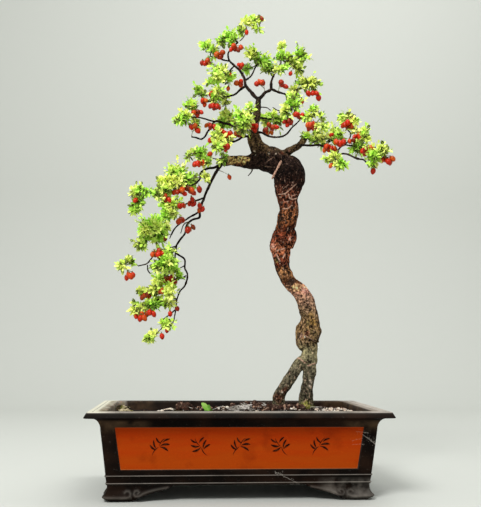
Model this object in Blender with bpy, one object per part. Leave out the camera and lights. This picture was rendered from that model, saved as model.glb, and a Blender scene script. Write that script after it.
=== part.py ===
"""Goji berry bonsai in its pot.

Metres, +Z up, and the front faces -Y. The origin is the middle of the pot's footprint, on the
surface that the pot stands on. Places along branches are in millimetres and are multiplied by MM.
"""

import math

import bmesh
import bpy
import numpy as np

MM = 0.001
SEED = 17
MERGE_DISTANCE = 0.0000005

# Gap between two pieces that touch, such as a stem in its hole or soil in the pot
SEAT_GAP = 0.0003
# Least distance that a leaf, stalk or berry keeps to the next piece
CLEARANCE = 0.0006

# Pot: half lengths along X, half depths along Y and heights
LIP_HALF_LENGTH = 0.200
LIP_HALF_DEPTH = 0.120
LIP_TOP = 0.114
LIP_UNDERSIDE = 0.1065
LIP_LEAN = 0.004
LIP_STEP = 0.001
BODY_BOTTOM = 0.020
BODY_TOP = 0.0905
BODY_TOP_HALF_LENGTH = 0.1803
BODY_FOOT_HALF_LENGTH = 0.1715
LIP_SHELF = 0.009
LIP_WIDTH = 0.022
WALL = 0.0125
FLOOR_TOP = 0.030
CORNER = 0.004
BEAD_HEIGHTS = (0.0225, 0.032)
BEAD_RISE = 0.0011
BEAD_HALF_HEIGHT = 0.0012
PANEL_BOTTOM = 0.0395
PANEL_TOP = 0.094
PANEL_BOTTOM_HALF = 0.1545
PANEL_TOP_HALF = 0.1625
PANEL_DEPTH = 0.0018
CUTTER_REACH = 0.012
DRAIN_X = 0.080
DRAIN_RADIUS = 0.011
SCREEN_SIZE = 0.034
SCREEN_THICKNESS = 0.001
SCREEN_CELLS = 5

# A scroll foot from the floor up, in mm: height, the outer face's distance from the pot's middle along X,
# and the places along X and Y where the foot's arch begins
FOOT_LEVELS = ((0, 168, 140, 60), (3, 174, 133, 53), (6.5, 175.5, 127, 48), (10.5, 172.5, 115, 39),
               (14, 171, 100, 29), (17.5, 170.8, 90, 21), (21, 170.8, 84, 16))
FOOT_WALL = 0.012

# Soil
SOIL_EDGE = 0.1065
SOIL_MIDDLE = 0.1145
SOIL_ROUGHNESS = 0.0012
HOLE_BOTTOM = 0.070

# Leaves and berries at their real size
LEAF_LENGTH = 0.0165
LEAF_WIDTH = 0.0056
LEAF_THICKNESS = 0.0006
MM_OF_TUFT_PER_LEAF = 4.4
BERRY_LENGTH = 0.0130
BERRY_WIDTH = 0.0082
STALK_LENGTH = 0.0085
STALK_RADIUS = 0.0005
STEM_RADII = (0.0011, 0.0013)
STEM_LEVEL = 0.0013
SPUR_RADII = (0.0014, 0.0012)
BERRY_GAP = 0.0003
SHOOT_RADIUS = 0.0011
LEAF_STEP = 0.0022
ROOT_DEPTH = 0.001
BLADE_GAP = 0.0012
NECK = 0.0040

# Flat sides round a branch, by its widest radius
WOOD_SIDES = ((0.0089, 10), (0.007, 7), (0.0036, 6), (0.0, 4))

# Every branch as (x, y, z, radius) in mm, from its root in the parent to its tip
BRANCHES = {
    "left_leg": ((60, -14, 70, 9), (60, -14, 114, 9), (61, -14, 129, 7.8), (69, -14, 143, 7.4),
                 (82, -13, 161, 7.4), (91, -12, 176, 8), (99, -11, 189, 8)),
    "right_leg": ((100, -10, 70, 10.5), (100, -10, 116, 10.5), (101, -10, 134, 8.2),
                  (103, -10, 150, 7.6), (105, -10, 166, 8.4), (103, -10, 184, 9.5)),
    "trunk": ((102, -10, 176, 11.6), (105, -8, 196, 10.8), (102, -6, 204, 14.5),
              (104, -6, 214, 16.2), (106, -6, 223, 16.6), (107, -8, 231, 13.6),
              (107, -10, 240, 12), (104, -12, 251, 12.1), (100, -14, 262, 12.2),
              (95, -14, 271, 12), (87, -12, 280, 11), (77, -8, 290, 9.8), (71, -3, 303, 10.8),
              (67, 1, 315, 10.2), (66, 4, 327, 11.4), (66, 6, 338, 12.8), (65, 7, 346, 14.4),
              (69, 6, 354, 17), (73, 3, 361, 15.4), (73, -1, 370, 13), (75, -6, 384, 13),
              (77, -10, 395, 12.2), (75, -10, 407, 12.6), (74, -7, 420, 15), (75, -5, 434, 19.6),
              (76, -4, 450, 22.4), (73, -4, 463, 20.5), (66, -4, 472, 16)),
    "head": ((70, -4, 462, 18.5), (58, -4, 471, 17.5), (44, -4, 474, 16.8), (34, -5, 474, 14.5),
             (24, -6, 471, 10.6), (14, -6, 470, 8.4), (2, -8, 470, 7.1), (-10, -10, 470, 6.3),
             (-21, -11, 468, 5.6), (-28, -12, 469, 3.6)),
    "apex": ((46, -4, 474, 14.5), (37, -5, 483, 13), (30, -6, 492, 11), (25, -6, 502, 9),
             (24, -7, 512, 7.6), (25, -8, 522, 5.8), (28, -8, 538, 4.5), (29, -8, 548, 4.6),
             (31, -8, 560, 3.8), (31, -8, 568, 3.4)),
    "crown_left": ((31, -8, 564, 3.2), (21, -4, 576, 3), (13, 2, 589, 2.8), (11, 6, 601, 2.5),
                   (5, 8, 613, 2.2), (-4, 10, 623, 2), (-12, 12, 631, 1.8), (-14, 12, 642, 1.6),
                   (-8, 8, 651, 1.5), (1, 4, 658, 1.3)),
    "crown_far_left": ((-12, 12, 631, 1.6), (-23, 14, 634, 1.4), (-41, 18, 640, 1.1)),
    "crown_front_left": ((-4, 10, 623, 1.6), (-12, -4, 609, 1.4), (-18, -16, 597, 1.2)),
    "left_shelf": ((13, 2, 589, 2), (4, 4, 582, 1.9), (-3, 6, 577, 1.7), (-23, 10, 572, 1.4),
                   (-45, 6, 563, 1.1)),
    "crown_back": ((12, 5, 598, 1.8), (20, 14, 607, 1.6), (32, 26, 632, 1.2)),
    "crown_right": ((31, -8, 564, 3.2), (41, -4, 576, 2.9), (51, 2, 585, 2.6), (52, 4, 597, 2.1),
                    (56, 6, 609, 1.8), (62, 8, 622, 1.5)),
    "right_shelf": ((51, 2, 585, 2.2), (64, 2, 580, 2), (73, 4, 578, 1.8), (92, 20, 590, 1.4),
                    (102, 26, 598, 1.2)),
    "right_shelf_front": ((73, 4, 578, 1.5), (75, -8, 567, 1.3), (77, -20, 555, 1.1)),
    "back_limb": ((28, -8, 536, 2.4), (39, 18, 544, 2), (59, 58, 555, 1.2)),
    "front_limb": ((25, -8, 521, 2.4), (15, -28, 516, 1.9), (10, -42, 516, 1.4)),
    "back_left_limb": ((25, -7, 516, 2.6), (11, 14, 528, 2.1), (-11, 48, 548, 1.3)),
    "left_limb": ((24, -8, 511, 2.8), (4, 4, 523, 2.4), (-16, 12, 532, 2.1), (-33, 16, 536, 2),
                  (-40, 14, 525, 1.8), (-46, 10, 513, 1.7), (-52, 4, 506, 1.6), (-68, -6, 505, 1.3)),
    "left_limb_tip": ((-33, 16, 536, 1.6), (-57, -2, 536, 1.3), (-68, -12, 533, 1.1)),
    "low_right_limb": ((25, -8, 515, 2.4), (36, -14, 512, 2), (46, -20, 505, 1.8),
                       (71, -30, 507, 1.6), (77, -36, 514, 1.4), (95, -46, 529, 1.1)),
    "low_left_limb": ((21, -8, 508, 2.6), (6, -22, 502, 2), (-4, -32, 493, 1.8),
                      (-20, -46, 484, 1.3)),
    "right_stub": ((58, -5, 476, 7.5), (67, -5, 482, 5.6), (79, -8, 488, 5.2), (91, -12, 494, 4.6),
                   (97, -13, 501, 3.8), (102, -14, 507, 2.9)),
    "right_fall": ((88, -12, 492, 2.8), (96, -18, 493, 2.2), (104, -26, 491, 2),
                   (120, -46, 485, 1.8), (129, -58, 475, 1.7), (136, -68, 467, 1.7),
                   (144, -74, 467, 1.6), (163, -90, 456, 1.5), (168, -94, 454, 1.4),
                   (175, -99, 442, 1.2)),
    "right_fall_upper": ((136, -68, 467, 1.6), (142, -66, 478, 1.4), (148, -64, 482, 1.3),
                         (162, -68, 480, 1.1)),
    "right_fall_high": ((148, -64, 482, 1.3), (156, -60, 492, 1.2), (159, -56, 501, 1.1),
                        (156, -52, 508, 1.1)),
    "right_fall_inner": ((120, -46, 485, 1.4), (129, -42, 492, 1.2), (137, -38, 497, 1.1)),
    "right_fall_under": ((129, -58, 475, 1.3), (131, -74, 464, 1.1)),
    "left_fall_upper": ((-20, -11, 468, 3.2), (-32, -14, 459, 2.4), (-49, -20, 452, 2),
                        (-54, -20, 447, 1.9), (-55, -20, 439, 1.7), (-63, -22, 431, 1.6),
                        (-75, -26, 425, 1.5), (-102, -38, 412, 1.3), (-124, -44, 411, 1.2),
                        (-138, -40, 404, 1.1)),
    "left_fall_rise": ((-72, -25, 427, 1.4), (-79, -21, 433, 1.1)),
    "left_fall": ((-21, -11, 468, 3.4), (-31, -10, 453, 2.8), (-40, -6, 434, 2.4),
                  (-48, -3, 417, 2.2), (-54, 0, 395, 2.2), (-55, 0, 385, 2.1), (-63, 0, 383, 1.9),
                  (-74, 2, 371, 1.8), (-75, 2, 365, 1.7), (-84, 0, 350, 1.7), (-88, 0, 343, 1.7),
                  (-88, 2, 334, 1.7), (-76, 6, 324, 1.6), (-75, 6, 311, 1.5), (-72, 4, 305, 1.5),
                  (-73, 4, 288, 1.5), (-81, 2, 278, 1.3), (-86, 0, 265, 1.2), (-87, -2, 250, 1.1),
                  (-91, -6, 231, 1)),
    "left_fall_back": ((-49, -3, 414, 1.7), (-60, 8, 412, 1.5), (-84, 26, 407, 1.1)),
    "left_fall_side": ((-54, 0, 395, 1.9), (-75, 14, 384, 1.6), (-89, 16, 373, 1.4),
                       (-96, 12, 361, 1.2)),
    "left_fall_out": ((-88, 0, 342, 1.5), (-97, -6, 339, 1.3), (-114, -16, 332, 1.2),
                      (-132, -24, 312, 1.1), (-141, -26, 310, 1.1)),
    "left_fall_spur": ((-88, 2, 334, 1.4), (-90, -4, 327, 1.2), (-87, -10, 318, 1.1)),
    "left_fall_low": ((-74, 4, 298, 1.3), (-81, 8, 296, 1.2), (-99, 18, 294, 1.1)),
    "left_fall_lowest": ((-86, 0, 264, 1.2), (-106, 6, 262, 1.1), (-114, 8, 266, 1.1)),
    "left_fall_tail": ((-87, -2, 251, 1.1), (-91, -2, 247, 1), (-106, -2, 235, 1)),
}

# Berry bunches: where the spur of wood ends, in mm, and how many berries hang there
BUNCHES = {
    "crown_top": ((-2, -4, 646), 4),
    "crown_far_left": ((-36, 10, 628), 3),
    "crown_middle": ((2, -2, 599), 4),
    "crown_right": ((44, -8, 584), 3),
    "right_shoulder": ((98, 12, 585), 3),
    "left_shelf": ((-33, 0, 558), 5),
    "left_tip": ((-60, -9, 527), 5),
    "left_inside": ((-36, 8, 526), 3),
    "low_left": ((-13, -46, 480), 5),
    "front": ((19, -35, 508), 3),
    "low_right": ((59, -32, 499), 5),
    "right_low": ((89, -50, 518), 5),
    "right_high": ((151, -64, 499), 3),
    "right_upper": ((159, -76, 484), 4),
    "right_middle": ((117, -54, 476), 4),
    "right_end": ((186, -88, 457), 5),
    "stub": ((-52, -28, 451), 3),
    "fall_shoulder": ((-76, -35, 416), 6),
    "fall_back": ((-66, 5, 404), 3),
    "fall_side": ((-77, 8, 378), 3),
    "fall_outer": ((-110, -21, 328), 5),
    "fall_far": ((-134, -31, 304), 3),
    "fall_low": ((-92, 9, 288), 5),
    "fall_lowest": ((-104, 15, 256), 3),
    "back": ((52, 50, 544), 3),
    "back_left": ((2, 40, 533), 3),
}

# Leafy sprays: the twig that carries each, and its tufts as (x, y, z, spread) in mm
SPRAYS = {
    "top": ("crown_left", ((13, -8, 684, 12), (24, 2, 692, 8), (5, 10, 678, 8), (-13, 14, 667, 12),
                           (-23, 22, 662, 8))),
    "top_left": ("crown_far_left", ((-48, 18, 654, 9), (-50, 28, 638, 8))),
    "upper_left": ("crown_front_left", ((-27, -25, 600, 12), (-33, -38, 587, 12),
                                        (-14, -24, 584, 8))),
    "upper_centre": ("crown_back", ((25, 18, 645, 12), (41, 30, 640, 12), (50, 45, 634, 8))),
    "upper_right": ("crown_right", ((67, 8, 640, 8), (84, 24, 640, 12), (101, 36, 652, 12),
                                    (98, 32, 626, 8), (68, -6, 614, 8))),
    "right_shoulder": ("right_shelf", ((104, 38, 609, 8), (119, 30, 604, 13))),
    "right_pad": ("right_shelf_front", ((84, -20, 562, 8), (80, -34, 547, 12), (67, -46, 535, 8))),
    "back_pad": ("back_limb", ((62, 68, 562, 8), (74, 52, 551, 12), (50, 80, 557, 12))),
    "right_low": ("low_right_limb", ((107, -52, 537, 8), (116, -62, 523, 8), (117, -69, 507, 8))),
    "front_pad": ("front_limb", ((5, -56, 516, 12), (3, -42, 529, 12), (2, -52, 503, 8))),
    "back_left_pad": ("back_left_limb", ((-17, 54, 558, 12), (-20, 64, 546, 8), (-13, 44, 572, 8))),
    "left_shoulder": ("left_shelf", ((-56, 10, 576, 8), (-38, 2, 574, 8), (-28, 20, 584, 12))),
    "left_far": ("left_limb_tip", ((-72, -10, 550, 12), (-81, -20, 528, 12))),
    "left_under": ("low_left_limb", ((-32, -50, 488, 8), (-34, -44, 498, 8), (-31, -62, 474, 8),
                                     (-60, -34, 474, 12), (-74, -40, 468, 8))),
    "right_inner": ("right_fall_inner", ((143, -38, 505, 12), (134, -26, 505, 8),
                                         (118, -32, 500, 8))),
    "right_high": ("right_fall_high", ((160, -48, 527, 12), (151, -40, 530, 8))),
    "right_mid": ("right_fall_upper", ((170, -66, 476, 12), (177, -70, 498, 8))),
    "right_tip": ("right_fall", ((183, -104, 458, 12), (191, -100, 468, 8), (183, -103, 436, 8))),
    "right_under": ("right_fall_under", ((131, -86, 456, 8), (138, -92, 448, 8))),
    "fall_shoulder": ("left_fall_rise", ((-82, -16, 442, 12), (-94, -12, 450, 12),
                                         (-67, -4, 442, 8), (-98, -34, 433, 8),
                                         (-110, -30, 425, 12), (-88, -44, 430, 8),
                                         (-116, -54, 418, 8))),
    "fall_far": ("left_fall_upper", ((-146, -36, 398, 8), (-148, -26, 391, 8), (-150, -42, 411, 8))),
    "fall_back": ("left_fall_back", ((-95, 32, 409, 12), (-103, 46, 405, 12), (-97, 22, 396, 8))),
    "fall_mid": ("left_fall_side", ((-113, 2, 368, 12), (-118, 22, 379, 12), (-128, -10, 364, 12),
                                    (-130, 12, 376, 12), (-126, 16, 356, 12), (-115, 24, 352, 8),
                                    (-140, 0, 343, 8))),
    "fall_out": ("left_fall_out", ((-153, -26, 315, 8), (-164, -30, 308, 8))),
    "fall_inner": ("left_fall_spur", ((-95, -16, 308, 8), (-101, -30, 316, 12), (-108, -18, 310, 8),
                                      (-97, -14, 281, 8))),
    "fall_low": ("left_fall_low", ((-113, 26, 294, 12), (-106, 24, 307, 8), (-116, 13, 285, 8),
                                   (-138, 16, 278, 8), (-119, 2, 278, 8))),
    "fall_lowest": ("left_fall_lowest", ((-126, 2, 257, 8), (-138, 6, 252, 8), (-147, 2, 246, 8))),
    "fall_tip": ("left_fall_tail", ((-118, -2, 212, 8), (-127, 2, 208, 8))),
}

# Broad-leaved seedling: where it stands in the soil, in mm, and its three leaf directions
SEEDLING = (-44, -50, 100)
SEEDLING_TOP = 117
SEEDLING_STEM_RADIUS = 0.0013
SEEDLING_LEAF = (0.016, 0.010)
SEEDLING_LEAVES = ((-0.55, -0.3, 0.8), (0.6, -0.2, 0.8), (0.0, 0.7, 0.65))


def clear_scene():
    """Remove whatever the scene holds."""
    for item in list(bpy.data.objects):
        bpy.data.objects.remove(item, do_unlink=True)


def material(name, colour, roughness, metallic=0.0):
    """Return a Principled material of one colour."""
    made = bpy.data.materials.new(name)
    made.use_nodes = True
    shader = made.node_tree.nodes["Principled BSDF"]
    shader.inputs["Base Color"].default_value = (*colour, 1.0)
    shader.inputs["Roughness"].default_value = roughness
    shader.inputs["Metallic"].default_value = metallic
    return made


def solid(name, points, faces):
    """Make an object from points in metres and faces, with its faces turned outwards."""
    mesh = bpy.data.meshes.new(name)
    mesh.from_pydata([tuple(point) for point in points], [], faces)
    shape = bmesh.new()
    shape.from_mesh(mesh)
    bmesh.ops.recalc_face_normals(shape, faces=shape.faces)
    shape.to_mesh(mesh)
    shape.free()
    made = bpy.data.objects.new(name, mesh)
    bpy.context.scene.collection.objects.link(made)
    return made


def combine(target, others, operation="UNION", solver="EXACT"):
    """Join the other objects to the target, or cut them from it, and remove them."""
    if not others:
        return
    group = bpy.data.collections.new("operands")
    for other in others:
        bpy.context.scene.collection.objects.unlink(other)
        group.objects.link(other)
    bpy.context.scene.collection.children.link(group)
    step = target.modifiers.new("combine", "BOOLEAN")
    step.operation = operation
    step.operand_type = "COLLECTION"
    step.collection = group
    step.solver = solver
    bpy.context.view_layer.update()
    graph = bpy.context.evaluated_depsgraph_get()
    result = bpy.data.meshes.new_from_object(target.evaluated_get(graph))
    target.modifiers.clear()
    target.data = result
    for other in others:
        bpy.data.objects.remove(other, do_unlink=True)
    bpy.data.collections.remove(group)


def keep_largest(shape):
    """Delete every loose scrap and sealed hollow, which are the mesh's smaller closed parts."""
    waiting = set(shape.verts)
    parts = []
    while waiting:
        front = [waiting.pop()]
        part = list(front)
        while front:
            vertex = front.pop()
            for edge in vertex.link_edges:
                other = edge.other_vert(vertex)
                if other in waiting:
                    waiting.remove(other)
                    part.append(other)
                    front.append(other)
        parts.append(part)
    parts.sort(key=len)
    for part in parts[:-1]:
        bmesh.ops.delete(shape, geom=part, context="VERTS")


def finish(made, look, smooth_angle=None):
    """Keep the piece's one body, split it into triangles and give it its material."""
    shape = bmesh.new()
    shape.from_mesh(made.data)
    bmesh.ops.remove_doubles(shape, verts=shape.verts, dist=MERGE_DISTANCE)
    bmesh.ops.dissolve_degenerate(shape, edges=shape.edges, dist=MERGE_DISTANCE)
    keep_largest(shape)
    bmesh.ops.triangulate(shape, faces=shape.faces)
    shape.to_mesh(made.data)
    shape.free()
    made.data.name = made.name
    made.data.materials.clear()
    made.data.materials.append(look)
    if smooth_angle is not None:
        made.data.shade_smooth()
        made.data.set_sharp_from_angle(angle=math.radians(smooth_angle))


def unit(vector):
    """Return the vector at length one."""
    vector = np.asarray(vector, dtype=float)
    return vector / np.linalg.norm(vector)


def across(direction, hint=(1.0, 0.0, 0.0)):
    """Return two unit vectors square to the direction, the first near the hint."""
    direction = unit(direction)
    hint = np.asarray(hint, dtype=float)
    if abs(direction @ hint) > 0.95:
        hint = np.array((0.0, 1.0, 0.0))
    first = unit(hint - direction * (direction @ hint))
    return first, np.cross(direction, first)


def tube(name, route, radii, sides, knots=None):
    """Make a closed tube of flat sides along the route; knots scales each corner's radius."""
    route = np.asarray(route, dtype=float)
    steps = np.diff(route, axis=0)
    steps /= np.linalg.norm(steps, axis=1)[:, None]
    headings = np.vstack((steps[:1], steps[:-1] + steps[1:], steps[-1:]))
    headings /= np.linalg.norm(headings, axis=1)[:, None]
    side, _ = across(headings[0])
    angles = np.arange(sides) * 2 * math.pi / sides
    points = []
    for index, (centre, heading, radius) in enumerate(zip(route, headings, radii)):
        side = unit(side - heading * (side @ heading))
        other = np.cross(heading, side)
        reach = np.full(sides, radius)
        if knots is not None:
            reach = reach * knots[index]
        ring = centre + np.outer(np.cos(angles) * reach, side) + np.outer(np.sin(angles) * reach, other)
        points.extend(ring)
    faces = []
    for row in range(len(route) - 1):
        for column in range(sides):
            after = (column + 1) % sides
            low, high = row * sides, (row + 1) * sides
            faces.append((low + column, low + after, high + after, high + column))
    faces.append(tuple(range(sides)))
    faces.append(tuple(range(len(points) - sides, len(points))))
    return solid(name, points, faces)


def blade(name, root, direction, normal, length, width):
    """Make a thin leaf, pointed at both ends and arched along its length."""
    direction = unit(direction)
    normal = unit(normal - direction * (normal @ direction))
    side = np.cross(direction, normal)
    half = width / 2
    middle = ((0, 0, 0), (0.46, half, 0.10), (0.46, -half, 0.10), (1, 0, -0.05))
    points = []
    for lift in (LEAF_THICKNESS / 2, -LEAF_THICKNESS / 2):
        for along, out, rise in middle:
            points.append(root + direction * (along * length) + side * out
                          + normal * (rise * length + lift))
    top = [(0, 2, 1), (1, 2, 3)]
    faces = top + [tuple(corner + 4 for corner in reversed(face)) for face in top]
    for first, second in ((0, 1), (1, 3), (3, 2), (2, 0)):
        faces.append((first, second, second + 4))
        faces.append((first, second + 4, first + 4))
    return solid(name, points, faces)


def berry(name, joint, stalk_end, axis, length, width):
    """Make a stalk of three flat sides that widens into a hanging berry of six."""
    axis = unit(axis)
    along_stalk = unit(stalk_end - joint)
    hint, _ = across(along_stalk + axis)
    points = []
    for place, heading in ((joint, along_stalk), (stalk_end, along_stalk + axis)):
        first, second = across(heading, hint)
        for turn in range(3):
            angle = turn * 2 * math.pi / 3
            points.append(place + (first * math.cos(angle) + second * math.sin(angle)) * STALK_RADIUS)
    first, second = across(axis, hint)
    for along, reach in ((0.24, 0.86), (0.70, 0.86)):
        for turn in range(6):
            angle = turn * math.pi / 3
            points.append(stalk_end + axis * (along * length)
                          + (first * math.cos(angle) + second * math.sin(angle)) * reach * width / 2)
    points.append(stalk_end + axis * length)
    faces = [(0, 1, 2)]
    for turn in range(3):
        after = (turn + 1) % 3
        faces.append((turn, after, 3 + after, 3 + turn))
        near, middle, far = 6 + 2 * turn, 7 + 2 * turn, 6 + (2 * turn + 2) % 6
        faces.extend(((3 + turn, near, middle), (3 + turn, middle, 3 + after), (3 + after, middle, far)))
    for turn in range(6):
        after = (turn + 1) % 6
        faces.append((6 + turn, 6 + after, 12 + after, 12 + turn))
        faces.append((12 + turn, 12 + after, 18))
    return solid(name, points, faces)


class Clearances:
    """A list of rounded bars that stand for placed pieces, to keep new ones clear of them."""

    def __init__(self):
        self.starts = np.zeros((0, 3))
        self.ends = np.zeros((0, 3))
        self.radii = np.zeros(0)
        self.owners = np.zeros(0, dtype=object)
        self.blades = np.zeros(0, dtype=bool)

    def add(self, start, end, radius, owner, is_blade=False):
        """Enter one bar."""
        self.starts = np.vstack((self.starts, start))
        self.ends = np.vstack((self.ends, end))
        self.radii = np.append(self.radii, radius)
        self.owners = np.append(self.owners, owner)
        self.blades = np.append(self.blades, is_blade)

    def room(self, start, end, radius):
        """Return the free space between a new bar and each bar in the list."""
        mine = end - start
        theirs = self.ends - self.starts
        between = start - self.starts
        length = mine @ mine
        lengths = np.einsum("ij,ij->i", theirs, theirs)
        along = theirs @ mine
        offset = between @ mine
        offsets = np.einsum("ij,ij->i", theirs, between)
        spread = length * lengths - along * along
        safe = np.where(spread > 1e-18, spread, 1.0)
        share = np.where(spread > 1e-18, np.clip((along * offsets - offset * lengths) / safe, 0, 1), 0.0)
        other = np.clip((along * share + offsets) / lengths, 0, 1)
        share = np.clip((other * along - offset) / length, 0, 1)
        apart = (start + share[:, None] * mine) - (self.starts + other[:, None] * theirs)
        return np.linalg.norm(apart, axis=1) - self.radii - radius

    def is_clear(self, start, end, radius, owner):
        """Tell whether a new bar keeps its distance to the bars of every other piece."""
        space = self.room(start, end, radius)[self.owners != owner]
        return not len(space) or space.min() > CLEARANCE

    def is_apart(self, start, end, radius, owner, gap, blades_only=False):
        """Tell whether a new bar keeps a gap to its own piece's bars, or only to its blades."""
        mine = self.owners == owner
        if blades_only:
            mine &= self.blades
        space = self.room(start, end, radius)[mine]
        return not len(space) or space.min() > gap


def rectangle_ring(half_length, half_depth, height, per_side=1):
    """Return a level ring of points round a rectangle with cut corners."""
    corners = []
    for sign_x, sign_y in ((1, -1), (1, 1), (-1, 1), (-1, -1)):
        near_end = (sign_x * half_length, sign_y * (half_depth - CORNER))
        near_side = (sign_x * (half_length - CORNER), sign_y * half_depth)
        corners.extend((near_side, near_end) if sign_x * sign_y < 0 else (near_end, near_side))
    ring = []
    for index, corner in enumerate(corners):
        after = corners[(index + 1) % len(corners)]
        steps = per_side if index % 2 else 1
        for step in range(steps):
            share = step / steps
            ring.append((corner[0] + (after[0] - corner[0]) * share,
                         corner[1] + (after[1] - corner[1]) * share, height))
    return ring


def loft(name, rings):
    """Make a closed solid through rings that have the same number of points."""
    count = len(rings[0])
    points = [point for ring in rings for point in ring]
    faces = []
    for row in range(len(rings) - 1):
        for column in range(count):
            after = (column + 1) % count
            low, high = row * count, (row + 1) * count
            faces.append((low + column, low + after, high + after, high + column))
    faces.append(tuple(reversed(range(count))))
    faces.append(tuple(range(len(points) - count, len(points))))
    return solid(name, points, faces)


def body_half_length(height):
    """Return the pot body's half length at a height."""
    share = (height - BODY_BOTTOM) / (BODY_TOP - BODY_BOTTOM)
    return BODY_FOOT_HALF_LENGTH + (BODY_TOP_HALF_LENGTH - BODY_FOOT_HALF_LENGTH) * share


def to_half_depth(half_length):
    """Return the half depth that goes with a half length, as the pot is equally thick all round."""
    return half_length - (LIP_HALF_LENGTH - LIP_HALF_DEPTH)


def inside_half_length(height):
    """Return the hollow's half length at a height: the walls lean out up to the lip's opening."""
    mouth = LIP_HALF_LENGTH - LIP_LEAN - LIP_WIDTH
    foot = BODY_FOOT_HALF_LENGTH - WALL
    share = (height - FLOOR_TOP) / (LIP_TOP - FLOOR_TOP)
    return foot + (mouth - foot) * share


def pot_rings():
    """Return the pot's rings, up the outside, over the lip and down inside to the floor."""
    profile = [(body_half_length(BODY_BOTTOM), BODY_BOTTOM)]
    for height in BEAD_HEIGHTS:
        for step, rise in ((-BEAD_HALF_HEIGHT, 0.0), (0.0, BEAD_RISE), (BEAD_HALF_HEIGHT, 0.0)):
            profile.append((body_half_length(height + step) + rise, height + step))
    profile.append((body_half_length(BODY_TOP), BODY_TOP))
    neck_length = LIP_HALF_LENGTH - LIP_SHELF - BODY_TOP_HALF_LENGTH
    neck_height = LIP_UNDERSIDE - LIP_STEP - BODY_TOP
    for turn in (30, 60, 90):
        angle = math.radians(turn)
        profile.append((BODY_TOP_HALF_LENGTH + neck_length * (1 - math.cos(angle)),
                        BODY_TOP + neck_height * math.sin(angle)))
    profile.append((LIP_HALF_LENGTH, LIP_UNDERSIDE))
    profile.append((LIP_HALF_LENGTH - LIP_LEAN, LIP_TOP))
    profile.append((inside_half_length(LIP_TOP), LIP_TOP))
    profile.append((inside_half_length(FLOOR_TOP), FLOOR_TOP))
    return [rectangle_ring(half, to_half_depth(half), height) for half, height in profile]


def panel_cutter(side):
    """Make the cutter of a recessed panel, on the front (-1) or the back (1)."""
    points = []
    for height, half in ((PANEL_BOTTOM, PANEL_BOTTOM_HALF), (PANEL_TOP, PANEL_TOP_HALF)):
        wall = to_half_depth(body_half_length(height))
        for depth in (wall - PANEL_DEPTH, wall + CUTTER_REACH):
            for sign in (-1, 1):
                points.append((sign * half, side * depth, height))
    faces = [(0, 1, 3, 2), (4, 6, 7, 5), (0, 4, 5, 1), (2, 3, 7, 6), (0, 2, 6, 4), (1, 5, 7, 3)]
    return solid("panel_cutter", points, faces)


def make_foot(sign_x, sign_y):
    """Make one corner's foot: L-shaped rings whose outer faces swell and whose arms reach out as they rise."""
    rings = []
    for level in FOOT_LEVELS:
        height, outer_x, arm_x, arm_y = (value * MM for value in level)
        outer_y = to_half_depth(outer_x)
        inner_x = outer_x - FOOT_WALL
        inner_y = outer_y - FOOT_WALL
        corners = ((outer_x, outer_y), (arm_x, outer_y), (arm_x, inner_y), (inner_x, inner_y),
                   (inner_x, arm_y), (outer_x, arm_y))
        rings.append([(sign_x * x, sign_y * y, height) for x, y in corners])
    return loft("foot", rings)


def make_pot(look):
    """Make the fired pot with its panels, feet and drain holes."""
    pot = loft("pot", pot_rings())
    feet = [make_foot(sign_x, sign_y) for sign_x in (-1, 1) for sign_y in (-1, 1)]
    combine(pot, feet)
    cutters = [panel_cutter(-1), panel_cutter(1)]
    for sign in (-1, 1):
        ends = ((sign * DRAIN_X, 0, BODY_BOTTOM - 0.004), (sign * DRAIN_X, 0, FLOOR_TOP + 0.004))
        cutters.append(tube("drain_cutter", ends, (DRAIN_RADIUS, DRAIN_RADIUS), 12))
    combine(pot, cutters, "DIFFERENCE")
    finish(pot, look, 30)
    return pot


def make_screens(look):
    """Make the two square drain screens, each a plate with four openings."""
    cell = SCREEN_SIZE / SCREEN_CELLS
    for sign, name in ((-1, "drain_screen_left"), (1, "drain_screen_right")):
        shape = bmesh.new()
        corners = {}
        for row in range(SCREEN_CELLS + 1):
            for column in range(SCREEN_CELLS + 1):
                place = (sign * DRAIN_X + column * cell - SCREEN_SIZE / 2,
                         row * cell - SCREEN_SIZE / 2, FLOOR_TOP + SEAT_GAP)
                corners[row, column] = shape.verts.new(place)
        for row in range(SCREEN_CELLS):
            for column in range(SCREEN_CELLS):
                if row % 2 and column % 2:
                    continue
                shape.faces.new((corners[row, column], corners[row, column + 1],
                                 corners[row + 1, column + 1], corners[row + 1, column]))
        raised = bmesh.ops.extrude_face_region(shape, geom=shape.faces[:])
        moved = [item for item in raised["geom"] if isinstance(item, bmesh.types.BMVert)]
        bmesh.ops.translate(shape, verts=moved, vec=(0, 0, SCREEN_THICKNESS))
        bmesh.ops.recalc_face_normals(shape, faces=shape.faces)
        mesh = bpy.data.meshes.new(name)
        shape.to_mesh(mesh)
        shape.free()
        screen = bpy.data.objects.new(name, mesh)
        bpy.context.scene.collection.objects.link(screen)
        finish(screen, look)


def soil_height(x, y, random):
    """Return the soil's height: a low mound at the tree that falls to the pot's edge."""
    reach = math.hypot((x - 0.04) / LIP_HALF_LENGTH, y / LIP_HALF_DEPTH)
    mound = max(0.0, 1 - reach) ** 0.7
    return SOIL_EDGE + (SOIL_MIDDLE - SOIL_EDGE) * mound + random.uniform(-1, 1) * SOIL_ROUGHNESS


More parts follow.
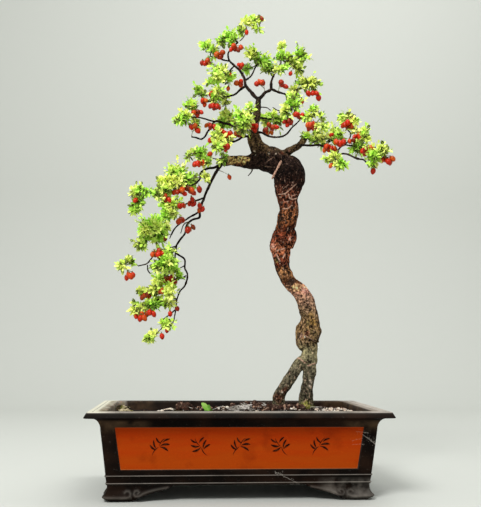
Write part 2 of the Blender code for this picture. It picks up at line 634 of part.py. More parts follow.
def make_soil(look, random):
    """Make the soil with its mound, its pockets over the screens and the holes of the stems."""
    rings = []
    for height in (FLOOR_TOP + SEAT_GAP, SOIL_EDGE):
        half = inside_half_length(height) - SEAT_GAP * 1.2
        rings.append(rectangle_ring(half, to_half_depth(half), height, 5))
    outer = rings[-1]
    for scale in (0.9, 0.66, 0.4, 0.16):
        ring = []
        for x, y, _ in outer:
            ring.append((x * scale, y * scale, soil_height(x * scale, y * scale, random)))
        rings.append(ring)
    soil = loft("soil", rings)
    cutters = []
    for name in ("left_leg", "right_leg"):
        x, y, _, radius = BRANCHES[name][0]
        ends = ((x * MM, y * MM, HOLE_BOTTOM - SEAT_GAP), (x * MM, y * MM, LIP_TOP + 0.02))
        wide = radius * MM + SEAT_GAP * 1.3
        cutters.append(tube("hole", ends, (wide, wide), 10))
    x, y, low = SEEDLING
    ends = ((x * MM, y * MM, low * MM - SEAT_GAP), (x * MM, y * MM, LIP_TOP + 0.02))
    wide = SEEDLING_STEM_RADIUS + SEAT_GAP * 1.3
    cutters.append(tube("hole", ends, (wide, wide), 6))
    for sign in (-1, 1):
        half = SCREEN_SIZE / 2 + SEAT_GAP
        low, high = FLOOR_TOP - 0.005, FLOOR_TOP + 2 * SEAT_GAP + SCREEN_THICKNESS
        rings = [[(sign * DRAIN_X + a * half, b * half, height)
                  for a, b in ((-1, -1), (1, -1), (1, 1), (-1, 1))] for height in (low, high)]
        cutters.append(loft("pocket", rings))
    combine(soil, cutters, "DIFFERENCE")
    finish(soil, look)
    return soil


def make_seedling(look):
    """Make the seedling: a short stem with three broad leaves."""
    x, y, low = SEEDLING
    foot = np.array((x, y, low)) * MM
    top = np.array((x, y, SEEDLING_TOP)) * MM
    stem = tube("seedling", (foot, top), (SEEDLING_STEM_RADIUS, SEEDLING_STEM_RADIUS), 6)
    leaves = []
    for direction in SEEDLING_LEAVES:
        root = top - np.array((0, 0, ROOT_DEPTH))
        leaves.append(blade("leaf", root, np.array(direction), np.array((0, 0, 1.0)), *SEEDLING_LEAF))
    combine(stem, leaves)
    finish(stem, look)


def nearest_on_wood(point):
    """Return the nearest place on the branches' middle lines, in metres."""
    best = None
    for route in BRANCHES.values():
        line = np.array(route)[:, :3] * MM
        for start, end in zip(line[:-1], line[1:]):
            step = end - start
            share = np.clip((point - start) @ step / (step @ step), 0, 1)
            place = start + share * step
            if best is None or np.linalg.norm(place - point) < np.linalg.norm(best - point):
                best = place
    return best


def make_wood(look, book, random):
    """Make the tree's wood as one solid, and return the end of every spur."""
    pieces = []
    for name, route in BRANCHES.items():
        table = np.array(route, dtype=float) * MM
        widest = table[:, 3].max()
        sides = next(count for least, count in WOOD_SIDES if widest > least)
        knots = None
        if sides == 10 and not name.endswith("leg"):
            knots = 1 + random.uniform(-0.07, 0.07, (len(table), sides))
        pieces.append(tube(name, table[:, :3], table[:, 3], sides, knots))
        for start, end in zip(table[:-1], table[1:]):
            book.add(start[:3], end[:3], max(start[3], end[3]), "wood")
    spurs = {}
    for name, (place, _) in BUNCHES.items():
        end = np.array(place) * MM
        root = nearest_on_wood(end)
        pieces.append(tube("spur", (root, end), SPUR_RADII, 3))
        book.add(root, end, SPUR_RADII[1], "wood")
        spurs[name] = (end, unit(end - root))
    wood = pieces[0]
    wood.name = "tree"
    combine(wood, pieces[1:])
    finish(wood, look, 50)
    return spurs


def make_bunch(name, spur, count, look, book, random):
    """Hang a bunch of berries on the end of a spur, out of the flat sides of its short stem."""
    end, heading = spur
    owner = "berries_" + name
    start = end + heading * SEAT_GAP
    knuckle = start + heading * NECK
    stem = tube(owner, (start, knuckle), STEM_RADII, 4)
    book.add(start, knuckle, STEM_RADII[1], owner)
    first, second = across(heading)
    parts = []
    face = random.integers(4)
    for index in range(count):
        level = 1 + index // 4
        for attempt in range(100):
            angle = math.radians(45 + 90 * (face + index) + random.uniform(-16, 16))
            outward = first * math.cos(angle) + second * math.sin(angle)
            joint = knuckle - heading * STEM_LEVEL * level
            away = unit(outward + heading * random.uniform(0.1, 0.8) + np.array((0, 0, -0.25)))
            reach = STALK_LENGTH * (random.uniform(0.8, 1.3) + (level - 1) * 0.5 + attempt * 0.006)
            stalk_end = joint + away * reach
            axis = unit(away * random.uniform(0.6, 1.1) + np.array((0, 0, -1.0)))
            length = BERRY_LENGTH * random.uniform(0.9, 1.08)
            width = BERRY_WIDTH * random.uniform(0.92, 1.05)
            centre = stalk_end + axis * length / 2
            core = axis * (length - width) / 2
            if not book.is_clear(centre - core, centre + core, width / 2, owner):
                continue
            if not book.is_apart(centre - core, centre + core, width / 2, owner, BERRY_GAP):
                continue
            if not book.is_clear(joint + away * 0.003, stalk_end, STALK_RADIUS, owner):
                continue
            book.add(centre - core, centre + core, width / 2, owner)
            parts.append(berry("berry", joint, stalk_end, axis, length, width))
            break
    combine(stem, parts)
    finish(stem, look, 60)


def clear_way(start, end, radius, owner, book, random):
    """Return a route from start to end that is clear, straight or bent once, or None."""
    if book.is_clear(start, end, radius, owner):
        return [start, end]
    first, second = across(end - start)
    for attempt in range(60):
        angle = random.uniform(0, 2 * math.pi)
        bend = (first * math.cos(angle) + second * math.sin(angle)) * (0.002 + attempt * 0.0003)
        middle = (start + end) / 2 + bend
        if book.is_clear(start, middle, radius, owner) and book.is_clear(middle, end, radius, owner):
            return [start, middle, end]
    return None


def grow_shoots(name, twig, tufts, book, random):
    """Grow a spray's shoots from its twig's end, each to the next tuft from the nearest one."""
    owner = "spray_" + name
    table = np.array(BRANCHES[twig], dtype=float) * MM
    heading = unit(table[-1, :3] - table[-2, :3])
    start = table[-1, :3] + heading * SEAT_GAP
    neck = start + heading * NECK
    pieces = [tube(owner, (start, neck), (table[-1, 3], SHOOT_RADIUS), 4)]
    book.add(start, neck, table[-1, 3], owner)
    reached = [(neck, heading)]
    ends = []
    for x, y, z, spread in tufts:
        place = np.array((x, y, z)) * MM
        joint, along = min(reached, key=lambda item: np.linalg.norm(item[0] - place))
        way = clear_way(joint, place, SHOOT_RADIUS, owner, book, random)
        if way is None:
            continue
        for low, high in zip(way[:-1], way[1:]):
            book.add(low, high, SHOOT_RADIUS, owner)
        end_heading = unit(way[-1] - way[-2])
        way[0] = way[0] - along * 0.0008
        radii = [SHOOT_RADIUS * 0.95] * (len(way) - 1) + [SHOOT_RADIUS]
        pieces.append(tube("shoot", way, radii, 3))
        reached.append((place, end_heading))
        ends.append((place, end_heading, spread))
    return pieces, ends


def tuft_leaves(tip, heading, spread, owner, book, random):
    """Return the leaves of one tuft: one on the shoot's end, and the rest out of its flat sides."""
    leaves = []
    count = max(1, round(spread / MM_OF_TUFT_PER_LEAF))
    first, second = across(heading)
    face = random.integers(3)
    for index in range(count):
        for attempt in range(60):
            angle = math.radians(60 + 120 * (face + index) + random.uniform(-14, 14))
            tilt = math.radians(random.uniform(50, 88) if index else random.uniform(0, 14))
            outward = first * math.cos(angle) + second * math.sin(angle)
            direction = unit(heading * math.cos(tilt) + outward * math.sin(tilt))
            length = LEAF_LENGTH * random.uniform(0.8, 1.1)
            width = LEAF_WIDTH * random.uniform(0.85, 1.1)
            root = tip - heading * (LEAF_STEP * index + ROOT_DEPTH)
            tip_of_leaf = root + direction * length
            outer = root + direction * length * 0.35
            if attempt % 10 == 9:
                face = random.integers(3)
            if not book.is_clear(root, tip_of_leaf, width * 0.42, owner):
                continue
            if not book.is_apart(outer, tip_of_leaf, width * 0.3, owner, BLADE_GAP, True):
                continue
            book.add(outer, tip_of_leaf, width * 0.42, owner, True)
            normal = np.array((0, 0, 1.0)) + heading * 0.5
            if abs(direction @ unit(normal)) > 0.9:
                normal = first
            leaves.append(blade("leaf", root, direction, normal, length, width))
            break
    return leaves


def main():
    """Make every piece of the bonsai."""
    clear_scene()
    random = np.random.default_rng(SEED)
    clay = material("dark_clay", (0.028, 0.022, 0.018), 0.75)
    mesh = material("black_mesh", (0.02, 0.02, 0.02), 0.6)
    earth = material("soil", (0.09, 0.06, 0.04), 0.95)
    bark = material("bark", (0.085, 0.055, 0.04), 0.85)
    leaf = material("leaf", (0.22, 0.42, 0.05), 0.5)
    seedling = material("seedling_leaf", (0.2, 0.45, 0.06), 0.5)
    fruit = material("berry", (0.65, 0.025, 0.012), 0.3)
    make_pot(clay)
    make_screens(mesh)
    make_soil(earth, random)
    make_seedling(seedling)
    book = Clearances()
    spurs = make_wood(bark, book, random)
    for name, (_, count) in BUNCHES.items():
        make_bunch(name, spurs[name], count, fruit, book, random)
    sprays = {name: grow_shoots(name, twig, tufts, book, random) for name, (twig, tufts) in SPRAYS.items()}
    for name, (pieces, ends) in sprays.items():
        for tip, heading, spread in ends:
            pieces.extend(tuft_leaves(tip, heading, spread, "spray_" + name, book, random))
        combine(pieces[0], pieces[1:])
        finish(pieces[0], leaf)


if __name__ == "__main__":
    main()
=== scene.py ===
"""Looks of the goji berry bonsai: clay, soil, bark, twigs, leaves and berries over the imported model.

Metres, +Z up, and the front faces -Y. The tables of places are in millimetres.
"""

import functools
import math

import bpy
import numpy as np
from bpy.props import FloatProperty, FloatVectorProperty, IntProperty, PointerProperty
from bpy.types import Operator, Panel, PropertyGroup
from mathutils import Matrix, Vector
from mathutils.geometry import tessellate_polygon


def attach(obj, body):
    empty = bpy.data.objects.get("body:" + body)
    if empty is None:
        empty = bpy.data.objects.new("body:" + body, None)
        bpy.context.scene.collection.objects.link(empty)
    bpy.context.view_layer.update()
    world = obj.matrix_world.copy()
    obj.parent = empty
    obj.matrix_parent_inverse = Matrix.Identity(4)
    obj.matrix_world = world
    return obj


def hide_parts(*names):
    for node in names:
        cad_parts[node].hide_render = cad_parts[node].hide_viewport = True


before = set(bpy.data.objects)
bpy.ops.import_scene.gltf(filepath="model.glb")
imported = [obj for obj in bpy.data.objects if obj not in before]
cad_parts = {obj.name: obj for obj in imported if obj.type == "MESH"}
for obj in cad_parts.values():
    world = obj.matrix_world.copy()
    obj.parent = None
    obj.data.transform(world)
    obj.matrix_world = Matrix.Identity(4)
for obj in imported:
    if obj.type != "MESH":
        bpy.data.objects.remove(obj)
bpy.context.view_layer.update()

bl_info = {
    "name": "Goji Berry Bonsai",
    "version": (1, 0, 0),
    "blender": (4, 5, 0),
    "location": "View3D > Sidebar > Bonsai",
    "description": "Dresses the packed bonsai in clay, soil, bark, leaves and berries",
    "category": "Object",
}

MM = 0.001
UP = np.array((0.0, 0.0, 1.0))
GOLDEN_ANGLE = math.radians(137.5)

# The camera of the photograph: place in metres, turns in degrees, focal length and size in pixels
CAMERA_PLACE = (-0.0781, -1.0986, 0.1914)
CAMERA_PITCH = 7.33
CAMERA_YAW = 4.37
CAMERA_ROLL = 0.3
CAMERA_FOCAL = 758.8
PHOTO_HEIGHT = 507
SENSOR = 36.0

# Every branch as (x, y, z, radius) in mm, from its root in the parent to its tip
BRANCHES = {
    "left_leg": ((60, -14, 70, 9), (60, -14, 114, 9), (61, -14, 129, 7.8), (69, -14, 143, 7.4),
        (82, -13, 161, 7.4), (91, -12, 174, 7.4), (99, -11, 183, 6.2)),
    "right_leg": ((100, -10, 70, 9.4), (100, -10, 116, 9.4), (101, -10, 134, 8.0), (103, -10, 150, 7.6),
        (105, -10, 166, 8.4), (103, -10, 184, 9.5)),
    "trunk": ((102, -10, 176, 11.6), (105, -8, 196, 10.8), (102, -6, 204, 14.5), (104, -6, 214, 16.2),
        (106, -6, 223, 16.6), (107, -8, 231, 13.6), (107, -10, 240, 12), (104, -12, 251, 12.1),
        (100, -14, 262, 12.2), (95, -14, 271, 12), (87, -12, 280, 11), (77, -8, 290, 9.8),
        (71, -3, 303, 10.8), (67, 1, 315, 10.2), (66, 4, 327, 11.4), (66, 6, 338, 12.8), (65, 7, 346, 14.4),
        (69, 6, 354, 17), (73, 3, 361, 15.4), (73, -1, 370, 13), (75, -6, 384, 13), (77, -10, 395, 12.2),
        (75, -10, 407, 12.6), (74, -7, 420, 15), (75, -5, 434, 19.6), (76, -4, 450, 22.4),
        (73, -4, 463, 20.5), (66, -4, 472, 16)),
    "head": ((70, -4, 462, 18.5), (58, -4, 471, 17.5), (44, -4, 474, 16.8), (34, -5, 474, 14.5),
        (24, -6, 471, 10.6), (14, -6, 470, 8.4), (2, -8, 470, 7.1), (-10, -10, 470, 6.3),
        (-21, -11, 468, 5.6), (-28, -12, 469, 3.6)),
    "apex": ((46, -4, 474, 14.5), (37, -5, 483, 13), (30, -6, 492, 11), (25, -6, 502, 9), (24, -7, 512, 7.6),
        (25, -8, 522, 5.8), (28, -8, 538, 4.5), (29, -8, 548, 4.6), (31, -8, 560, 3.8), (31, -8, 568, 3.4)),
    "crown_left": ((31, -8, 564, 3.2), (21, -4, 576, 3), (13, 2, 589, 2.8), (11, 6, 601, 2.5),
        (5, 8, 613, 2.2), (-4, 10, 623, 2), (-12, 12, 631, 1.8), (-14, 12, 642, 1.6), (-8, 8, 651, 1.5),
        (1, 4, 658, 1.3)),
    "crown_far_left": ((-12, 12, 631, 1.6), (-23, 14, 634, 1.4), (-41, 18, 640, 1.1)),
    "crown_front_left": ((-4, 10, 623, 1.6), (-12, -4, 609, 1.4), (-18, -16, 597, 1.2)),
    "left_shelf": ((13, 2, 589, 2), (4, 4, 582, 1.9), (-3, 6, 577, 1.7), (-23, 10, 572, 1.4),
        (-45, 6, 563, 1.1)),
    "crown_back": ((12, 5, 598, 1.8), (20, 14, 607, 1.6), (32, 26, 632, 1.2)),
    "crown_right": ((31, -8, 564, 3.2), (41, -4, 576, 2.9), (51, 2, 585, 2.6), (52, 4, 597, 2.1),
        (56, 6, 609, 1.8), (62, 8, 622, 1.5)),
    "right_shelf": ((51, 2, 585, 2.2), (64, 2, 580, 2), (73, 4, 578, 1.8), (92, 20, 590, 1.4),
        (102, 26, 598, 1.2)),
    "right_shelf_front": ((73, 4, 578, 1.5), (75, -8, 567, 1.3), (77, -20, 555, 1.1)),
    "back_limb": ((28, -8, 536, 2.4), (39, 18, 544, 2), (59, 58, 555, 1.2)),
    "front_limb": ((25, -8, 521, 2.4), (15, -28, 516, 1.9), (10, -42, 516, 1.4)),
    "back_left_limb": ((25, -7, 516, 2.6), (11, 14, 528, 2.1), (-11, 48, 548, 1.3)),
    "left_limb": ((24, -8, 511, 2.8), (4, 4, 523, 2.4), (-16, 12, 532, 2.1), (-33, 16, 536, 2),
        (-40, 14, 525, 1.8), (-46, 10, 513, 1.7), (-52, 4, 506, 1.6), (-68, -6, 505, 1.3)),
    "left_limb_tip": ((-33, 16, 536, 1.6), (-57, -2, 536, 1.3), (-68, -12, 533, 1.1)),
    "low_right_limb": ((25, -8, 515, 2.4), (36, -14, 512, 2), (46, -20, 505, 1.8), (71, -30, 507, 1.6),
        (77, -36, 514, 1.4), (95, -46, 529, 1.1)),
    "low_left_limb": ((21, -8, 508, 2.6), (6, -22, 502, 2), (-4, -32, 493, 1.8), (-20, -46, 484, 1.3)),
    "head_spur": ((22, -8, 458, 1.5), (20, -15, 452, 1.1), (15, -20, 445, 0.9)),
    "right_stub": ((58, -5, 476, 7.5), (67, -5, 482, 5.6), (79, -8, 488, 5.2), (91, -12, 494, 4.6),
        (97, -13, 501, 3.8), (102, -14, 507, 2.9)),
    "right_fall": ((88, -12, 492, 2.8), (96, -18, 493, 2.2), (104, -26, 491, 2), (120, -46, 485, 1.8),
        (129, -58, 475, 1.7), (136, -68, 467, 1.7), (144, -74, 467, 1.6), (163, -90, 456, 1.5),
        (168, -94, 454, 1.4), (175, -99, 442, 1.2)),
    "right_fall_upper": ((136, -68, 467, 1.6), (142, -66, 478, 1.4), (148, -64, 482, 1.3),
        (162, -68, 480, 1.1)),
    "right_fall_high": ((148, -64, 482, 1.3), (156, -60, 492, 1.2), (159, -56, 501, 1.1),
        (156, -52, 508, 1.1)),
    "right_fall_inner": ((120, -46, 485, 1.4), (129, -42, 492, 1.2), (137, -38, 497, 1.1)),
    "right_fall_under": ((129, -58, 475, 1.3), (131, -74, 464, 1.1)),
    "left_fall_upper": ((-20, -11, 468, 3.2), (-32, -14, 459, 2.4), (-49, -20, 452, 2), (-54, -20, 447, 1.9),
        (-55, -20, 439, 1.7), (-63, -22, 431, 1.6), (-75, -26, 425, 1.5), (-102, -38, 412, 1.3),
        (-124, -44, 411, 1.2), (-138, -40, 404, 1.1)),
    "left_fall_rise": ((-72, -25, 427, 1.4), (-79, -21, 433, 1.1)),
    "left_fall": ((-21, -11, 468, 3.4), (-31, -10, 453, 2.8), (-40, -6, 434, 2.4), (-48, -3, 417, 2.2),
        (-54, 0, 395, 2.2), (-55, 0, 385, 2.1), (-63, 0, 383, 1.9), (-74, 2, 371, 1.8), (-75, 2, 365, 1.7),
        (-84, 0, 350, 1.7), (-88, 0, 343, 1.7), (-88, 2, 334, 1.7), (-76, 6, 324, 1.6), (-75, 6, 311, 1.5),
        (-72, 4, 305, 1.5), (-73, 4, 288, 1.5), (-81, 2, 278, 1.3), (-86, 0, 265, 1.2), (-87, -2, 250, 1.1),
        (-91, -6, 231, 1)),
    "left_fall_back": ((-49, -3, 414, 1.7), (-60, 8, 412, 1.5), (-84, 26, 407, 1.1)),
    "left_fall_side": ((-54, 0, 395, 1.9), (-75, 14, 384, 1.6), (-89, 16, 373, 1.4), (-96, 12, 361, 1.2)),
    "left_fall_out": ((-88, 0, 342, 1.5), (-97, -6, 339, 1.3), (-114, -16, 332, 1.2), (-132, -24, 312, 1.1),
        (-141, -26, 310, 1.1)),
    "left_fall_spur": ((-88, 2, 334, 1.4), (-90, -4, 327, 1.2), (-87, -10, 318, 1.1)),
    "left_fall_low": ((-74, 4, 298, 1.3), (-81, 8, 296, 1.2), (-99, 18, 294, 1.1)),
    "left_fall_lowest": ((-86, 0, 264, 1.2), (-106, 6, 262, 1.1), (-114, 8, 266, 1.1)),
    "left_fall_tail": ((-87, -2, 251, 1.1), (-91, -2, 247, 1), (-106, -2, 235, 1)),
    "fall_twig_a": ((-75, 4, 315, 1.1), (-82, 2, 311, 0.8)),
    "fall_twig_b": ((-73, 4, 300, 1.1), (-81, 2, 296, 0.9), (-86, 0, 299, 0.8)),
    "fall_twig_c": ((-89, 6, 334, 1.1), (-90, 4, 327, 1), (-85, 2, 318, 0.9), (-86, 0, 312, 0.8)),
    "fall_twig_d": ((-85, 2, 266, 1.1), (-94, 0, 266, 0.8)),
    "fall_twig_e": ((-88, -2, 250, 1.1), (-95, -4, 244, 0.9), (-107, -6, 234, 0.8)),
    "fall_twig_f": ((-128, -22, 312, 1.1), (-127, -22, 304, 0.9), (-124, -20, 300, 0.8)),
    "fall_twig_g": ((-60, 0, 384, 1.1), (-69, -4, 379, 1), (-77, -8, 373, 0.9), (-82, -10, 360, 0.8)),
    "fall_twig_h": ((-93, 14, 367, 1.1), (-98, 10, 355, 0.8)),
    "crown_twig_a": ((33, -8, 553, 1.1), (42, -12, 551, 0.9), (48, -16, 546, 0.8)),
    "crown_twig_b": ((77, -18, 556, 1.1), (72, -16, 547, 1), (60, -18, 545, 0.9), (51, -20, 549, 0.8)),
    "crown_twig_c": ((74, 4, 578, 1.1), (90, 8, 587, 0.9), (100, 12, 591, 0.8)),
}

# Branches thick enough to show the bark's relief; the rest are twigs
THICK = ("left_leg", "right_leg", "trunk", "head", "apex", "right_stub")

# Leafy sprays: the twig that carries each, and its tufts as (x, y, z, reach) in mm
TUFTS = {
    "top": ("crown_left", ((13, -8, 684, 8), (6, 10, 677, 7), (23, 4, 693, 6), (33, -4, 690, 4),
        (30, -6, 676, 4), (-6, -2, 659, 7), (-13, 14, 668, 11), (-23, 22, 665, 7))),
    "top_left": ("crown_far_left", ((-37, 10, 647, 6), (-48, 18, 655, 8), (-44, 24, 633, 4))),
    "upper_left": ("crown_front_left", ((-27, -25, 600, 11), (-33, -38, 586, 10), (-14, -18, 589, 8))),
    "upper_centre": ("crown_back", ((25, 18, 643, 13), (41, 30, 638, 11), (50, 45, 634, 10),
        (16, 34, 626, 6))),
    "upper_right": ("crown_right", ((67, 8, 637, 7), (69, 12, 657, 6), (64, -4, 612, 8), (84, 24, 638, 11),
        (102, 36, 655, 11), (98, 48, 647, 8), (99, 30, 627, 6))),
    "right_shoulder": ("right_shelf", ((103, 40, 608, 8), (119, 30, 604, 13), (92, 20, 590, 7))),
    "right_pad": ("right_shelf_front", ((82, -18, 563, 8), (80, -34, 546, 11), (67, -46, 534, 8))),
    "back_pad": ("back_limb", ((61, 62, 561, 8), (69, 44, 551, 11), (50, 78, 557, 11))),
    "right_low": ("low_right_limb", ((99, -46, 528, 6), (106, -52, 535, 6), (116, -60, 524, 4),
        (116, -66, 507, 6))),
    "front_pad": ("front_limb", ((5, -56, 516, 11), (5, -40, 527, 13), (3, -52, 502, 8), (16, -34, 540, 6))),
    "back_left_pad": ("back_left_limb", ((-16, 52, 557, 10), (-7, 34, 543, 11), (-18, 64, 546, 10),
        (-14, 40, 572, 4))),
    "left_shoulder": ("left_shelf", ((-34, 2, 568, 8), (-28, 20, 584, 11), (-19, 34, 582, 7),
        (-39, 26, 600, 6), (-55, 12, 578, 8), (-60, 6, 582, 4))),
    "left_far": ("left_limb_tip", ((-70, -8, 552, 10), (-80, -20, 527, 10), (-88, -26, 523, 6),
        (-62, 6, 530, 6))),
    "left_under": ("low_left_limb", ((-31, -50, 487, 7), (-34, -44, 497, 7), (-31, -62, 474, 7),
        (-16, -40, 492, 6), (-24, -26, 466, 5), (-50, -24, 464, 6), (-58, -30, 474, 10), (-73, -38, 467, 4),
        (-46, -30, 459, 6))),
    "right_inner": ("right_fall_inner", ((142, -40, 504, 11), (137, -26, 503, 7), (144, -56, 493, 6),
        (121, -36, 495, 7), (112, -24, 499, 7), (116, -20, 509, 6), (100, -24, 504, 5))),
    "right_high": ("right_fall_high", ((160, -48, 527, 8), (152, -38, 530, 6), (163, -60, 519, 4))),
    "right_mid": ("right_fall_upper", ((167, -66, 477, 10), (174, -84, 486, 6), (176, -70, 498, 8),
        (164, -58, 505, 4))),
    "right_tip": ("right_fall", ((185, -100, 459, 13), (195, -100, 468, 8), (181, -100, 452, 7),
        (175, -92, 467, 6))),
    "right_under": ("right_fall_under", ((131, -84, 456, 7), (137, -90, 447, 7), (117, -78, 457, 4))),
    "fall_shoulder": ("left_fall_rise", ((-81, -16, 440, 13), (-93, -12, 450, 11), (-66, 2, 442, 10),
        (-47, -28, 438, 6), (-101, -46, 416, 8), (-108, -30, 424, 10), (-99, -40, 431, 7),
        (-88, -44, 427, 10), (-115, -52, 407, 10), (-113, -34, 430, 4))),
    "fall_far": ("left_fall_upper", ((-144, -36, 398, 8), (-146, -30, 393, 8), (-148, -40, 411, 7),
        (-139, -50, 414, 6), (-148, -38, 385, 4), (-128, -52, 412, 4))),
    "fall_back": ("left_fall_back", ((-95, 32, 409, 11), (-103, 46, 406, 10), (-97, 24, 395, 8),
        (-105, 36, 391, 6))),
    "fall_mid": ("left_fall_side", ((-113, 0, 368, 11), (-117, 20, 380, 11), (-127, -12, 364, 13),
        (-130, 12, 377, 11), (-104, 24, 372, 6), (-136, 4, 362, 8), (-126, 16, 358, 11), (-115, 20, 354, 11),
        (-140, 0, 342, 7))),
    "fall_out": ("left_fall_out", ((-152, -26, 315, 7), (-164, -30, 308, 6))),
    "fall_inner": ("left_fall_spur", ((-95, -14, 309, 10), (-100, -30, 318, 10), (-97, -22, 330, 8),
        (-107, -18, 314, 10), (-114, -28, 309, 6), (-95, 2, 305, 8))),
    "fall_low": ("left_fall_low", ((-112, 26, 294, 10), (-105, 22, 307, 8), (-115, 12, 285, 8),
        (-117, 2, 278, 8), (-137, 16, 277, 7), (-96, -10, 278, 8), (-97, -22, 270, 8), (-84, -6, 297, 6))),
    "fall_lowest": ("left_fall_lowest", ((-116, 10, 260, 8), (-125, 0, 255, 8), (-137, 6, 252, 8),
        (-144, 14, 257, 4), (-146, 0, 246, 6), (-99, -2, 259, 7))),
    "fall_tip": ("left_fall_tail", ((-101, -8, 228, 7), (-117, -2, 211, 6), (-126, 2, 208, 6))),
}

# Berries: the middle of each cluster in mm and how many hang there, by the bunch that it belongs to
CLUSTERS = {
    "crown_top": ((36, -6, 695, 1), (13, -8, 671, 1), (-3, -4, 644, 4)),
    "crown_far_left": ((-27, 6, 638, 3), (-48, 14, 629, 3)),
    "crown_middle": ((4, 0, 619, 2), (-12, -22, 596, 1), (2, -10, 587, 3), (-15, -16, 578, 1)),
    "crown_right": ((35, -8, 589, 3), (67, -6, 589, 2)),
    "right_shoulder": ((83, 18, 616, 1), (125, 26, 586, 2), (111, 20, 583, 1), (99, 6, 569, 1)),
    "left_shelf": ((-39, 10, 580, 1), (-50, -4, 560, 2), (-34, -6, 552, 5)),
    "left_tip": ((-61, -16, 537, 3), (-63, -14, 516, 2)),
    "left_inside": ((-38, 2, 525, 4),),
    "low_left": ((-41, -24, 496, 1), (-19, -40, 501, 4), (-20, -52, 480, 2)),
    "front": ((20, -26, 517, 4),),
    "low_right": ((49, -24, 518, 3),),
    "right_low": ((72, -40, 519, 3), (86, -44, 530, 2), (103, -56, 512, 5)),
    "right_high": ((154, -56, 515, 4), (132, -50, 501, 1), (163, -54, 524, 1)),
    "right_upper": ((165, -74, 491, 3), (158, -72, 484, 2), (140, -70, 482, 4)),
    "right_middle": ((127, -60, 478, 4), (124, -84, 445, 1)),
    "right_end": ((173, -95, 467, 4), (201, -95, 453, 5), (181, -95, 440, 1)),
    "stub": ((-42, -32, 470, 1), (-58, -34, 456, 4), (-12, -16, 444, 1), (-56, -16, 425, 1)),
    "fall_shoulder": ((-84, -44, 414, 6), (-69, -34, 418, 4), (-102, -48, 403, 2), (-146, -46, 403, 1)),
    "fall_back": ((-80, 14, 405, 2), (-66, 0, 408, 2), (-53, -8, 398, 2)),
    "fall_side": ((-84, 6, 382, 2), (-69, -6, 368, 2)),
    "fall_outer": ((-104, -2, 355, 1), (-114, -24, 329, 5)),
    "fall_far": ((-152, -30, 296, 3),),
    "fall_low": ((-97, 4, 293, 5), (-107, -4, 275, 3)),
    "fall_lowest": ((-131, 8, 270, 3), (-138, -4, 240, 3), (-123, -6, 243, 2), (-85, -6, 251, 1),
        (-95, -6, 244, 1), (-99, -10, 217, 1), (-106, -6, 209, 1)),
    "back": ((52, 50, 532, 3),),
    "back_left": ((2, 40, 520, 3),),
}
















# Shapes

# Factors that mix a cell's coordinates and the seed into one number, and how many of its bits are kept
CELL_FACTORS = (374761393, 668265263, 2147483647)
SEED_FACTOR = 144665
STIR_FACTOR = 1274126177
KEPT_BITS = 0xFFFFFF


def unit(vectors):
    """Each vector divided by its length."""
    return vectors / np.maximum(np.linalg.norm(vectors, axis=-1, keepdims=True), 1e-12)


def ease(values):
    """Smooth step: 0 below 0, 1 above 1 and 3 t^2 - 2 t^3 between."""
    share = np.clip(values, 0.0, 1.0)
    return share * share * (3 - 2 * share)


def hill(values):
    """A rounded hill, exp(-t^2)."""
    return np.exp(-values ** 2)


def ring_angles(count):
    """Even angles round a full turn."""
    return np.arange(count) * 2 * math.pi / count


def lattice(cells, seed):
    """A fixed number in [-1, 1] for each whole-number cell."""
    mixed = (cells * CELL_FACTORS).sum(axis=-1) + seed * SEED_FACTOR
    mixed = (mixed ^ (mixed >> 13)) * STIR_FACTOR
    return ((mixed ^ (mixed >> 16)) & KEPT_BITS) / float(KEPT_BITS // 2) - 1.0


def ripple(points, seed=0):
    """Smooth noise in [-1, 1]: the eight corner values of each point's cell, mixed by eased distance."""
    cells = np.floor(points).astype(np.int64)
    share = ease(points - cells)
    total = np.zeros(points.shape[:-1])
    for corner in np.ndindex(2, 2, 2):
        weight = np.where(corner, share, 1 - share).prod(axis=-1)
        total += weight * lattice(cells + corner, seed)
    return total


def rough(points, octaves, seed=0):
    """Sum of noises, each at twice the pitch and half the height of the one before."""
    return sum(ripple(points * 2.0 ** step, seed + step) / 2.0 ** step for step in range(octaves))


def smooth_route(table, spacing):
    """Points at even steps on the cubic through the table's rows.

    Each row's slope is the step between its neighbours over the length between them.
    """
    table = np.asarray(table, dtype=float)
    lengths = np.linalg.norm(np.diff(table[:, :3], axis=0), axis=1)
    places = np.concatenate(([0.0], np.cumsum(lengths)))
    slopes = np.gradient(table, places, axis=0)
    wanted = np.linspace(0, places[-1], max(4, int(places[-1] / spacing) + 1))
    part = np.clip(np.searchsorted(places, wanted, side="right") - 1, 0, len(lengths) - 1)
    length = lengths[part][:, None]
    share = (wanted[:, None] - places[part][:, None]) / length
    start = (1 + 2 * share) * (1 - share) ** 2 * table[part]
    start += share * (1 - share) ** 2 * slopes[part] * length
    end = share ** 2 * (3 - 2 * share) * table[part + 1]
    end += share ** 2 * (share - 1) * slopes[part + 1] * length
    return start + end


def across(headings, hints):
    """Two unit vectors square to each heading; the first is the hint less its share along the heading."""
    side = unit(hints - headings * (headings * hints).sum(-1, keepdims=True))
    return side, np.cross(headings, side)


